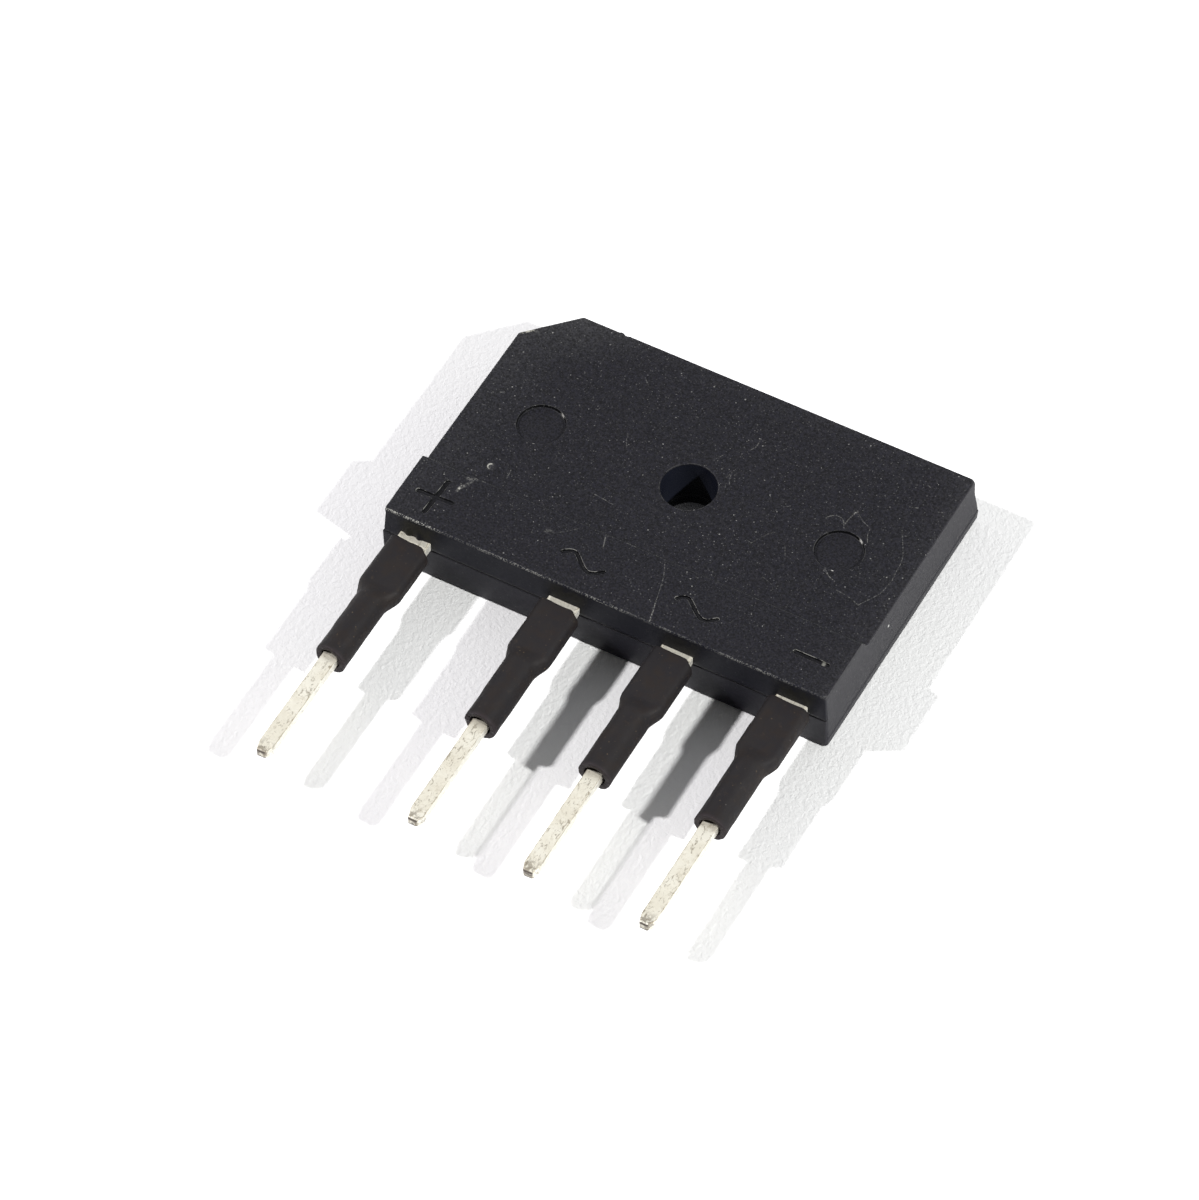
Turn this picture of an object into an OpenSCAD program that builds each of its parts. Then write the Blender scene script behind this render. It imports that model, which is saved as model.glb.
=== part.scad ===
// Flat four-lead bridge rectifier: moulded case with a screw hole, four
// blade leads with heat-shrink sleeves, and the diode circuit inside.
// Units are millimetres. The origin is the centre of the screw hole on the
// flat seating face. +Z leaves the marked face, the leads point to -Y and
// +X runs from the positive lead to the negative lead.

/* [Case] */
// Width of the case along X, at its widest line
case_w = 29.7; // [29.4:0.1:30.4]
// Distance from the hole centre to the face the leads leave
front_y = 10.6; // [10.4:0.1:11.0]
// Distance from the hole centre to the opposite edge
back_y = 8.6; // [8.5:0.1:9.2]
// Thickness of the case around the screw hole
main_t = 3.7; // [3.5:0.1:3.8]
// Thickness of the raised band over the leads
band_t = 4.6; // [4.4:0.1:4.8]
// Leg of the corner chamfer beside the positive lead
chamfer = 2.85; // [2.6:0.05:3.1]
// Diameter of the screw hole
hole_d = 3.4; // [3.1:0.1:3.6]
// Depth of the moulded polarity marks
mark_depth = 0.15; // [0.1:0.05:0.25]

/* [Leads] */
// Width of the broad part of each lead next to the case
lead_wide = 2.05; // [2.0:0.05:2.3]
// Width of the narrow part that goes into a board
lead_narrow = 1.0; // [0.9:0.05:1.05]
// Thickness of the leads
lead_t = 0.6; // [0.55:0.05:0.65]
// Free length of the leads outside the case
lead_len = 17.5; // [16.5:0.5:18.5]

/* [Sleeves] */
// Wall of the shrunk sleeves
sleeve_wall = 0.35; // [0.3:0.05:0.4]
// Distance from the hole centre to the open end of the sleeves
sleeve_end = 20.4; // [19.0:0.2:22.0]

/* [Chips] */
// Side of each square diode chip
die = 3.4; // [3.0:0.1:3.4]

/* [Hidden] */
$fn = 72;
e = 0.01;
hw = case_w / 2;
// heights: parting line on the lead face and on the other three sides
part_front = 2.6;
part_side = 0.87;
// draft of the walls, measured at the main face
draft = 0.18;
draft_k = draft / (main_t - part_side);
foot_in = 0.07;
step_top = -5.97;
step_foot = -5.34;
corner_r = 0.5;
eject_x = 10;
eject_r = 1.5;
eject_d = 0.22;

lead_x = [-12.5, -2.5, 5, 12.5];
lead_z = part_front;
lead_mid = lead_z + lead_t / 2;
tip_y = -front_y - lead_len;
broad_end = -front_y - 4.3;
taper_end = broad_end - 0.6;
tip_in = 0.22;
tip_len = 0.65;

// inside levels
pad_z = 0.9;
pad_t = 0.6;
sol = 0.05;
die_t = 0.3;
clip_t = 0.4;
pad_top = pad_z + pad_t;
die_z = pad_top + sol;
over_z = die_z + die_t;
clip_z = over_z + sol;
leg_y = -9.4;
leg_w = 0.6;
pad_y0 = leg_y;

d1 = [-6.4, -6];
d2 = [-6.4, 4.9];
d3 = [-0.4, -6];
d4 = [5.2, -6];
clip_w = 2.0;
foot = 0.8;

// which node to draw

// ---------- outline helpers ----------

// extrude an outline given as [y, z] pairs along X, centred
module along_x(len) rotate([90, 0, 90]) linear_extrude(len, center = true) children();
// extrude an outline given as [x, z] pairs along Y, centred
module along_y(len) rotate([90, 0, 0]) linear_extrude(len, center = true) children();

module case_block() {
  intersection() {
    along_x(case_w + 2)
      polygon([[-front_y + 0.04, 0], [-front_y, part_front],
               [-front_y + 0.15, band_t], [step_top, band_t],
               [step_foot, main_t], [back_y - draft, main_t],
               [back_y, part_side], [back_y - foot_in, 0]]);
    along_y(2 * (front_y + back_y))
      polygon([[-hw + foot_in, 0], [-hw, part_side],
               [-hw + draft_k * (band_t - part_side), band_t],
               [hw - draft_k * (band_t - part_side), band_t],
               [hw, part_side], [hw - foot_in, 0]]);
    translate([0, 0, -1]) linear_extrude(band_t + 2) plan();
  }
}

// plan outline with small radii on its upright corners
module plan() {
  r = corner_r;
  translate([-hw, -front_y + r]) square([case_w, front_y + back_y - 2 * r]);
  translate([-hw + r, -front_y]) square([case_w - 2 * r, front_y + back_y]);
  for (x = [-hw + r, hw - r], y = [-front_y + r, back_y - r])
    translate([x, y]) circle(r);
}

// what the corner chamfer removes
module chamfer_cut() {
  xt = hw - draft;
  yt = back_y - draft;
  translate([-xt + chamfer / 2, yt - chamfer / 2, 0]) rotate([0, 0, 45])
    along_x(14)
      polygon([[draft - foot_in, -1], [draft - foot_in, 0],
               [draft, part_side], [-draft_k * (band_t - main_t), band_t],
               [-draft_k * (band_t - main_t), band_t + 1],
               [8, band_t + 1], [8, -1]]);
}

// ---------- polarity marks ----------
mark_w = 0.3;
wave_w = 0.24;
wave_r = 0.85;      // radius of each crest
wave_a = 40;        // slope of the middle stroke, degrees
wave_h = 0.44;      // half length of the middle stroke
wave_end = 40;      // how far each crest runs past its top, degrees

module bar(len) {
  square([len - mark_w, mark_w], center = true);
  for (s = [-1, 1]) translate([s * (len - mark_w) / 2, 0]) circle(mark_w / 2);
}
module plus_mark() { bar(2.5); rotate(90) bar(2.85); }
module minus_mark() bar(2.4);
module wave_mark() {
  rotate(-wave_a) square([2 * wave_h + 0.1, wave_w], center = true);
  cx = -wave_h * cos(wave_a) - wave_r * sin(wave_a);
  cy = wave_h * sin(wave_a) - wave_r * cos(wave_a);
  for (k = [0, 180]) rotate(k) translate([cx, cy]) {
    intersection() {
      difference() {
        circle(wave_r + wave_w / 2);
        circle(wave_r - wave_w / 2);
      }
      polygon([[0, 0], [3 * sin(wave_a), 3 * cos(wave_a)], [0, 3],
               [-3 * sin(wave_end), 3 * cos(wave_end)]]);
    }
    translate([-wave_r * sin(wave_end), wave_r * cos(wave_end)]) circle(wave_w / 2);
  }
}
module marks() {
  y = -8.28;
  translate([0, 0, band_t - mark_depth]) linear_extrude(1) {
    translate([lead_x[0], y]) plus_mark();
    translate([lead_x[1], y]) wave_mark();
    translate([lead_x[2], y]) wave_mark();
    translate([lead_x[3], y]) minus_mark();
  }
}

// ---------- leads with their inner pads ----------

// outline of the free blade, seen from the marked face
module blade(x) {
  w = lead_wide / 2;
  n = lead_narrow / 2;
  translate([x, 0, lead_z]) linear_extrude(lead_t)
    polygon([[-w, leg_y + leg_w], [-w, broad_end], [-n, taper_end],
             [-n, tip_y + tip_len], [-n + tip_in, tip_y],
             [n - tip_in, tip_y], [n, tip_y + tip_len],
             [n, taper_end], [w, broad_end], [w, leg_y + leg_w]]);
}
// upright leg joining the blade to the lower pad
module leg(x)
  translate([x - lead_wide / 2, leg_y, pad_z])
    cube([lead_wide, leg_w, lead_z + lead_t - pad_z]);
module pad_slab(x0, x1, y0, y1)
  translate([x0, y0, pad_z]) cube([x1 - x0, y1 - y0, pad_t]);

module lead_plus() color([0.84, 0.82, 0.76]) {
  blade(lead_x[0]);
  leg(lead_x[0]);
  translate([0, 0, pad_z]) linear_extrude(pad_t)
    polygon([[-13.6, pad_y0], [-4.3, pad_y0], [-4.3, 6.8], [-10.8, 6.8],
             [-13.4, 4.2], [-13.4, pad_y0 + 1], [-13.6, pad_y0 + 1]]);
}
module lead_ac_left() color([0.84, 0.82, 0.76]) {
  blade(lead_x[1]);
  leg(lead_x[1]);
  pad_slab(-3.6, 1.6, pad_y0, -3.9);
}
module lead_ac_right() color([0.84, 0.82, 0.76]) {
  blade(lead_x[2]);
  leg(lead_x[2]);
  pad_slab(2.4, 7.9, pad_y0, -3.9);
  pad_slab(3.6, 7.9, -3.9, 6.8);
}
module lead_minus() color([0.84, 0.82, 0.76]) {
  blade(lead_x[3]);
  leg(lead_x[3]);
  pad_slab(8.7, 13.6, pad_y0, -3.9);
}

// ---------- chips, solder and jumper clips ----------

module square_at(p, s, z, t)
  translate([p[0] - s / 2, p[1] - s / 2, z]) cube([s, s, t]);

module diode_chip(p) color([0.36, 0.38, 0.42]) square_at(p, die, die_z, die_t);
module solder_under(p) color([0.62, 0.63, 0.65]) square_at(p, die, pad_top, sol);
module solder_over(p)
  color([0.62, 0.63, 0.65])
    translate([p[0] - clip_w / 2, p[1] - clip_w / 2, over_z])
      cube([clip_w, clip_w, sol]);

// flat strip over the chips from x0 to x1 with one leg down at x1
module clip(x0, x1, y) color([0.72, 0.43, 0.27]) {
  translate([x0, y - clip_w / 2, clip_z]) cube([x1 - x0, clip_w, clip_t]);
  translate([x1 - foot, y - clip_w / 2, die_z])
    cube([foot, clip_w, clip_z - die_z + clip_t]);
}
module solder_foot(x1, y)
  color([0.62, 0.63, 0.65])
    translate([x1 - foot, y - clip_w / 2, pad_top]) cube([foot, clip_w, sol]);

al_x1 = -2.55;
ar_x1 = 6.2;
mi_x1 = 10.6;
module clip_ac_left() clip(d1[0] - clip_w / 2, al_x1, d1[1]);
module clip_ac_right() clip(d2[0] - clip_w / 2, ar_x1, d2[1]);
module clip_minus() clip(d3[0] - clip_w / 2, mi_x1, d3[1]);

module diode_chip_1() diode_chip(d1);
module diode_chip_2() diode_chip(d2);
module diode_chip_3() diode_chip(d3);
module diode_chip_4() diode_chip(d4);
module solder_under_1() solder_under(d1);
module solder_under_2() solder_under(d2);
module solder_under_3() solder_under(d3);
module solder_under_4() solder_under(d4);
module solder_over_1() solder_over(d1);
module solder_over_2() solder_over(d2);
module solder_over_3() solder_over(d3);
module solder_over_4() solder_over(d4);
module solder_foot_ac_left() solder_foot(al_x1, d1[1]);
module solder_foot_ac_right() solder_foot(ar_x1, d2[1]);
module solder_foot_minus() solder_foot(mi_x1, d3[1]);

// ---------- moulded case ----------

module case() color([0.17, 0.17, 0.18]) difference() {
  case_block();
  chamfer_cut();
  translate([0, 0, -1]) cylinder(h = band_t + 2, r = hole_d / 2);
  for (x = [-eject_x, eject_x])
    translate([x, 0, main_t - eject_d]) cylinder(h = 1, r = eject_r);
  marks();
  lead_plus();
  lead_ac_left();
  lead_ac_right();
  lead_minus();
  for (p = [d1, d2, d3, d4]) {
    diode_chip(p);
    solder_under(p);
    solder_over(p);
  }
  clip_ac_left();
  clip_ac_right();
  clip_minus();
  solder_foot_ac_left();
  solder_foot_ac_right();
  solder_foot_minus();
}

// ---------- sleeves ----------

// sleeve round the lead at x, from y0 beside the case to the open end
module sleeve(x, y0) {
  w = lead_wide / 2 + sleeve_wall;
  h = lead_t / 2 + sleeve_wall;
  r = sqrt(pow(lead_narrow / 2, 2) + pow(lead_t / 2, 2)) + 0.07;
  ro = r + sleeve_wall;
  a = broad_end - 0.1;
  b = a - 0.9;
  translate([x, 0, lead_mid]) difference() {
    intersection() {
      rotate([90, 0, 0]) rotate_extrude()
        polygon([[0, -y0], [w, -y0], [w, -a], [ro, -b], [ro, sleeve_end], [0, sleeve_end]]);
      along_x(4)
        polygon([[y0, h], [a, h], [b, ro], [-sleeve_end - 1, ro],
                 [-sleeve_end - 1, -ro], [b, -ro], [a, -h], [y0, -h]]);
    }
    rotate([90, 0, 0]) translate([0, 0, -taper_end]) cylinder(h = 20, r = r);
    translate([-x, 0, -lead_mid]) blade(x);
  }
}
module sleeve_plus() color([0.16, 0.145, 0.13]) sleeve(lead_x[0], -front_y - 0.5);
module sleeve_ac_left() color([0.16, 0.145, 0.13]) sleeve(lead_x[1], -front_y - 0.42);
module sleeve_ac_right() color([0.16, 0.145, 0.13]) sleeve(lead_x[2], -front_y - 0.32);
module sleeve_minus() color([0.16, 0.145, 0.13]) sleeve(lead_x[3], -front_y - 0.26);

case();
lead_plus();
lead_ac_left();
lead_ac_right();
lead_minus();
sleeve_plus();
sleeve_ac_left();
sleeve_ac_right();
sleeve_minus();
diode_chip_1();
diode_chip_2();
diode_chip_3();
diode_chip_4();
clip_ac_left();
clip_ac_right();
clip_minus();
solder_under_1();
solder_under_2();
solder_under_3();
solder_under_4();
solder_over_1();
solder_over_2();
solder_over_3();
solder_over_4();
solder_foot_ac_left();
solder_foot_ac_right();
solder_foot_minus();
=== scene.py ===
import math

import bmesh
import bpy
import numpy as np
from mathutils import Matrix, Vector
from mathutils.geometry import delaunay_2d_cdt


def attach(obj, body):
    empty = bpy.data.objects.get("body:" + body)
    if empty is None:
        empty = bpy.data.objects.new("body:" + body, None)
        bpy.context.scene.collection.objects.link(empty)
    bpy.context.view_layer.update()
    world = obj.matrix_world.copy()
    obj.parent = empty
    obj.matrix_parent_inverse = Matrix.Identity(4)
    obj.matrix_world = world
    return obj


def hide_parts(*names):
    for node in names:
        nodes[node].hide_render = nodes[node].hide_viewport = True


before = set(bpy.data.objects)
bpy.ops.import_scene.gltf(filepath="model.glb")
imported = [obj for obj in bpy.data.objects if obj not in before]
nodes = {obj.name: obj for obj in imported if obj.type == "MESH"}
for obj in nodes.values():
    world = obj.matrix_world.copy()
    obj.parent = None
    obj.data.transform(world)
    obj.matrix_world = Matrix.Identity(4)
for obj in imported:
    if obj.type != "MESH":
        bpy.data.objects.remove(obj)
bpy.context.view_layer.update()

# The part is worked out in millimetres and written to the meshes in metres.
MM = 0.001
PI = math.pi

# ------------------------------------------------------------------ numbers
HW, FRONT, BACK = 14.85, -10.6, 8.6
MAIN, BAND = 3.7, 4.6
STEP_TOP, STEP_FOOT = -5.97, -5.34
SIDE_Z, FRONT_Z = 0.87, 2.6
DRAFT_K = 0.18 / (MAIN - SIDE_Z)
HOLE_R = 1.7
LEAD_X = (-12.5, -2.5, 5.0, 12.5)
LEAD_N = ("plus", "ac_left", "ac_right", "minus")
LEAD_Z0, LEAD_Z1 = 2.6, 3.2
LEAD_M = 2.9
TIP = -28.1

# ------------------------------------------------------------------ helpers


def lerp(a, b, t):
    return a + (b - a) * t


def smooth(t):
    t = np.clip(t, 0.0, 1.0)
    return t * t * (3 - 2 * t)


def _hash(ix, iy, seed):
    h = (ix.astype(np.int64) * 374761393 + iy.astype(np.int64) * 668265263 + int(seed) * 974634777) & 0xFFFFFFFF
    h = ((h ^ (h >> 13)) * 1274126177) & 0xFFFFFFFF
    h = (h ^ (h >> 16)) & 0xFFFFFFFF
    return h / float(0xFFFFFFFF)


def vnoise(x, y, size, seed):
    """Smooth value noise from -1 to 1, with cells of that size."""
    x, y = np.broadcast_arrays(np.asarray(x, float) / size, np.asarray(y, float) / size)
    ix, iy = np.floor(x), np.floor(y)
    u, v = smooth(x - ix), smooth(y - iy)
    a, b = _hash(ix, iy, seed), _hash(ix + 1, iy, seed)
    c, d = _hash(ix, iy + 1, seed), _hash(ix + 1, iy + 1, seed)
    return 2 * lerp(lerp(a, b, u), lerp(c, d, u), v) - 1


def seg_dist(p, a, b):
    """Distance from points p to segment a-b, and the place along it from 0 to 1."""
    d = b - a
    t = np.clip(((p - a) @ d) / max(float(d @ d), 1e-12), 0, 1)
    return np.hypot(*(p - (a + t[:, None] * d)).T), t


def line_dist(p, line):
    line = np.asarray(line, float)
    best = np.full(len(p), 1e9)
    for a, b in zip(line[:-1], line[1:]):
        best = np.minimum(best, seg_dist(p, a, b)[0])
    return best


def resample(line, step, curve=True):
    """Points at an even spacing along a polyline, rounded through its points."""
    line = np.asarray(line, float)
    if curve and len(line) > 2:
        q = np.vstack([2 * line[0] - line[1], line, 2 * line[-1] - line[-2]])
        out = []
        for i in range(1, len(q) - 2):
            t = np.linspace(0, 1, 12, endpoint=False)[:, None]
            p0, p1, p2, p3 = q[i - 1], q[i], q[i + 1], q[i + 2]
            out.append(0.5 * (2 * p1 + (p2 - p0) * t + (2 * p0 - 5 * p1 + 4 * p2 - p3) * t**2
                              + (3 * p1 - p0 - 3 * p2 + p3) * t**3))
        line = np.vstack(out + [line[-1:]])
    s = np.concatenate([[0], np.cumsum(np.hypot(*np.diff(line, axis=0).T))])
    n = max(2, int(round(s[-1] / step)) + 1)
    t = np.linspace(0, s[-1], n)
    return np.column_stack([np.interp(t, s, line[:, 0]), np.interp(t, s, line[:, 1])])


def rows_along(line, offsets, step=0.07, caps=True):
    """Points in rows beside a line, at the given offsets on both sides and round its ends."""
    line = resample(line, step)
    tan = np.gradient(line, axis=0)
    tan /= np.maximum(np.hypot(*tan.T), 1e-9)[:, None]
    nor = np.column_stack([-tan[:, 1], tan[:, 0]])
    out = [line]
    for o in offsets:
        if o == 0:
            continue
        out += [line + nor * o, line - nor * o]
        if caps:
            for end, d in ((line[0], -tan[0]), (line[-1], tan[-1])):
                a0 = math.atan2(d[1], d[0])
                n = max(3, int(o * PI / step) + 1)
                a = np.linspace(a0 - PI / 2, a0 + PI / 2, n + 2)[1:-1]
                out.append(end + o * np.column_stack([np.cos(a), np.sin(a)]))
    return np.vstack(out)


def new_mesh(name, verts, faces, smooth_angle=None):
    me = bpy.data.meshes.new(name)
    me.from_pydata([tuple(v) for v in np.asarray(verts, float) * MM], [], faces)
    me.validate()
    ob = bpy.data.objects.new(name, me)
    bpy.context.scene.collection.objects.link(ob)
    bm = bmesh.new()
    bm.from_mesh(me)
    bmesh.ops.remove_doubles(bm, verts=bm.verts, dist=1e-8)
    bmesh.ops.recalc_face_normals(bm, faces=bm.faces)
    if bm.calc_volume(signed=True) < 0:
        bmesh.ops.reverse_faces(bm, faces=bm.faces)
    bm.to_mesh(me)
    bm.free()
    if smooth_angle is not None:
        shade(ob, smooth_angle)
    return ob


def shade(ob, angle):
    me = ob.data
    me.polygons.foreach_set("use_smooth", [True] * len(me.polygons))
    me.set_sharp_from_angle(angle=math.radians(angle))
    me.update()


def coords(me):
    co = np.zeros(len(me.vertices) * 3)
    me.vertices.foreach_get("co", co)
    return co.reshape(-1, 3) / MM


def attribute(me, name, values):
    a = me.attributes.get(name) or me.attributes.new(name, "FLOAT", "POINT")
    a.data.foreach_set("value", np.asarray(values, np.float32))


def boolean(ob, other, how, solver="MANIFOLD"):
    m = ob.modifiers.new("cut", "BOOLEAN")
    m.operation, m.object, m.solver = how, other, solver
    dg = bpy.context.evaluated_depsgraph_get()
    me = bpy.data.meshes.new_from_object(ob.evaluated_get(dg))
    ob.modifiers.clear()
    old = ob.data
    ob.data = me
    me.name = ob.name
    bpy.data.meshes.remove(old)


def welded_copy(node, name):
    """A closed copy of a CAD node's mesh, for cutting with."""
    me = nodes[node].data.copy()
    ob = bpy.data.objects.new(name, me)
    bpy.context.scene.collection.objects.link(ob)
    bm = bmesh.new()
    bm.from_mesh(me)
    bmesh.ops.remove_doubles(bm, verts=bm.verts, dist=2e-7)
    bm.to_mesh(me)
    bm.free()
    return ob


def block(name, x0, x1, y0, y1, z0, z1):
    v = [(x, y, z) for x in (x0, x1) for y in (y0, y1) for z in (z0, z1)]
    f = [(0, 1, 3, 2), (4, 6, 7, 5), (0, 4, 5, 1), (2, 3, 7, 6), (0, 2, 6, 4), (1, 5, 7, 3)]
    return new_mesh(name, v, f)


def drop(ob):
    me = ob.data
    bpy.data.objects.remove(ob)
    bpy.data.meshes.remove(me)


# ------------------------------------------------------------------ the case

# Moulded marks: centre lines of the grooves on the band.
PLUS = ([(-13.52, -8.34), (-11.36, -8.27)], [(-12.30, -7.00), (-12.42, -9.52)])
WAVE_1 = [(-3.84, -8.28), (-3.62, -8.10), (-3.39, -7.99), (-3.13, -7.99), (-2.95, -8.09), (-2.77, -8.25),
          (-2.44, -8.55), (-2.12, -8.80), (-1.83, -8.92), (-1.50, -8.86), (-1.22, -8.68), (-1.00, -8.49)]
WAVE_2 = [(3.66, -8.12), (3.86, -7.94), (4.08, -7.83), (4.30, -7.84), (4.50, -7.97), (4.72, -8.15),
          (5.00, -8.39), (5.27, -8.61), (5.57, -8.77), (5.93, -8.77), (6.22, -8.58), (6.45, -8.38)]
MINUS = [(11.52, -8.28), (13.58, -8.28)]
MARKS = [(PLUS[0], 0.155), (PLUS[1], 0.155), (WAVE_1, 0.125), (WAVE_2, 0.125), (MINUS, 0.15)]
MARK_DEPTH = 0.15
RECESS = ((-10.0, 0.0), (10.0, 0.0))
RECESS_D = 0.22

# Scratches and scuffs on the marked face: line, half width, depth, how bright.
SCRATCHES = [
    ([(8.19, 1.76), (8.33, 2.00), (8.74, 2.22), (9.14, 2.10), (9.46, 1.60)], 0.035, 0.006, 0.55),
    ([(9.38, 1.89), (9.41, 2.33), (9.53, 2.98)], 0.035, 0.006, 0.45),
    ([(9.48, 2.80), (9.60, 3.06)], 0.07, 0.012, 0.9),
    ([(9.75, 2.93), (10.20, 2.58), (10.80, 2.32)], 0.03, 0.005, 0.45),
    ([(10.84, 2.25), (10.92, 1.79), (11.19, 1.27)], 0.03, 0.005, 0.5),
    ([(12.52, 3.07), (12.89, 2.43), (13.38, 1.53), (13.59, 0.88), (13.63, 0.16), (13.70, -0.47),
      (13.59, -1.52), (13.29, -2.18), (12.94, -2.78), (12.81, -3.02)], 0.03, 0.004, 0.42),
    ([(12.81, -3.02), (12.16, -2.78), (11.59, -2.68), (11.18, -2.65)], 0.03, 0.004, 0.45),
    ([(9.86, -1.53), (10.26, -1.90), (10.68, -2.09)], 0.035, 0.006, 0.6),
    ([(9.87, -1.53), (9.89, -1.77)], 0.03, 0.005, 0.5),
    ([(7.00, -3.82), (7.48, -3.98)], 0.03, 0.005, 0.45),
    ([(4.89, -1.87), (5.20, -1.95)], 0.03, 0.005, 0.6),
    ([(5.20, -1.95), (5.42, -1.50), (5.76, -0.90), (6.06, -0.60)], 0.028, 0.003, 0.3),
    ([(7.05, -1.21), (7.40, -1.86)], 0.028, 0.003, 0.3),
    ([(5.64, 1.31), (5.91, 1.55)], 0.04, 0.005, 0.5),
    ([(1.61, 1.61), (1.67, 1.99)], 0.028, 0.003, 0.35),
    ([(1.70, 2.17), (1.86, 1.58), (2.02, 1.29)], 0.03, 0.005, 0.5),
    ([(2.03, 5.18), (2.06, 4.51), (1.85, 4.14)], 0.04, 0.004, 0.35),
    ([(0.35, 2.56), (0.71, 3.15)], 0.028, 0.003, 0.4),
    ([(-5.29, 2.02), (-5.02, 1.65), (-4.96, 1.34), (-4.56, 0.70)], 0.025, 0.003, 0.3),
    ([(-4.80, -3.11), (-4.24, -3.15), (-3.22, -3.28)], 0.035, 0.004, 0.42),
    ([(-2.20, -6.05), (-1.88, -6.97)], 0.035, 0.006, 0.55),
    ([(1.72, -6.03), (2.16, -6.96), (2.43, -7.80), (2.76, -9.11)], 0.03, 0.005, 0.4),
    ([(2.70, -8.90), (2.82, -9.30), (3.08, -10.36)], 0.045, 0.010, 0.75),
    ([(-9.86, -3.86), (-9.77, -4.50)], 0.035, 0.004, 0.45),
    ([(-5.48, -7.48), (-4.86, -7.26), (-4.29, -6.84), (-3.79, -6.32)], 0.03, 0.003, 0.25),
    ([(-13.38, 0.98), (-13.10, 1.10)], 0.04, 0.004, 0.45),
    ([(-13.87, -0.32), (-13.61, -0.29)], 0.035, 0.003, 0.35),
    ([(-6.15, 5.91), (-5.84, 5.64)], 0.04, 0.004, 0.45),
    ([(-11.50, -7.28), (-11.42, -6.84)], 0.11, 0.020, 1.0),
    ([(-11.30, -6.84), (-10.97, -5.98)], 0.10, 0.006, 0.5),
    ([(-11.45, -6.22), (-10.85, -6.05)], 0.10, 0.006, 0.5),
    ([(12.32, 6.77), (12.66, 6.61)], 0.035, 0.004, 0.4),
    ([(12.14, 4.81), (12.59, 4.96)], 0.045, 0.004, 0.4),
    ([(13.76, 5.25), (14.20, 5.41)], 0.035, 0.004, 0.35),
]
DENT = (-11.05, -4.18, 0.24, 0.07)
SMUDGE = (-5.25, -7.40)


def profile_z(y):
    """Height of the marked side across the band step, with rounded corners."""
    z = 0
    taps = np.linspace(-0.055, 0.055, 9)
    w = np.cos(taps / 0.055 * PI / 2 * 0.9)
    for o, k in zip(taps, w / w.sum()):
        z = z + k * np.interp(y + o, [STEP_TOP, STEP_FOOT], [BAND, MAIN])
    return z


def mark_cut(p):
    cut = np.zeros(len(p))
    for line, hw in MARKS:
        line = resample(line, 0.05)
        near = (np.abs(p - line.mean(0)).max(1) < 2.2)
        if near.any():
            d = line_dist(p[near], line)
            c = np.interp(d, [0, hw - 0.05, hw - 0.035, hw - 0.008, hw + 0.01, hw + 0.03],
                          [1, 1, 0.93, 0.25, 0.05, 0])
            cut[near] = np.maximum(cut[near], c)
    return cut


def top_z(p):
    """Height of the marked side at points p."""
    p = np.asarray(p, float)
    z = profile_z(p[:, 1])
    z = z - MARK_DEPTH * mark_cut(p)
    for cx, cy in RECESS:
        r = np.hypot(p[:, 0] - cx, p[:, 1] - cy)
        z = z - RECESS_D * np.interp(r, [0, 1.38, 1.41, 1.44, 1.462, 1.477, 1.492, 1.505, 1.52],
                                     [1, 1, 0.98, 0.91, 0.78, 0.58, 0.12, 0.03, 0])
    for line, hw, depth, _ in SCRATCHES:
        line = np.asarray(line)
        near = (np.abs(p - (line.min(0) + line.max(0)) / 2) < (line.max(0) - line.min(0)) / 2 + 0.2).all(1)
        if near.any():
            d = line_dist(p[near], resample(line, 0.08))
            z[near] -= depth * (1 - smooth(d / hw)) * (0.7 + 0.5 * vnoise(p[near, 0], p[near, 1], 0.12, 5))
    dx, dy, dr, dd = DENT
    r = np.hypot(p[:, 0] - dx, (p[:, 1] - dy))
    r = r * (1 + 0.18 * vnoise(p[:, 0], p[:, 1], 0.16, 9))
    z = z - np.interp(r, [0, dr * 0.45, dr * 0.85, dr * 1.0, dr * 1.25, dr * 1.6],
                      [dd, dd * 0.8, dd * 0.15, -dd * 0.22, -dd * 0.12, 0])
    return z


def inset_at(z, n):
    """How far the wall lies inside the widest outline at height z, for walls facing n."""
    side = np.where(z < SIDE_Z, 0.07 * (SIDE_Z - z) / SIDE_Z, DRAFT_K * (z - SIDE_Z))
    front = np.where(z < FRONT_Z, 0.04 * (FRONT_Z - z) / FRONT_Z, 0.15 * (z - FRONT_Z) / (BAND - FRONT_Z))
    k = np.clip(-n[:, 1], 0, 1) ** 2
    return k * front + (1 - k) * side


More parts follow.
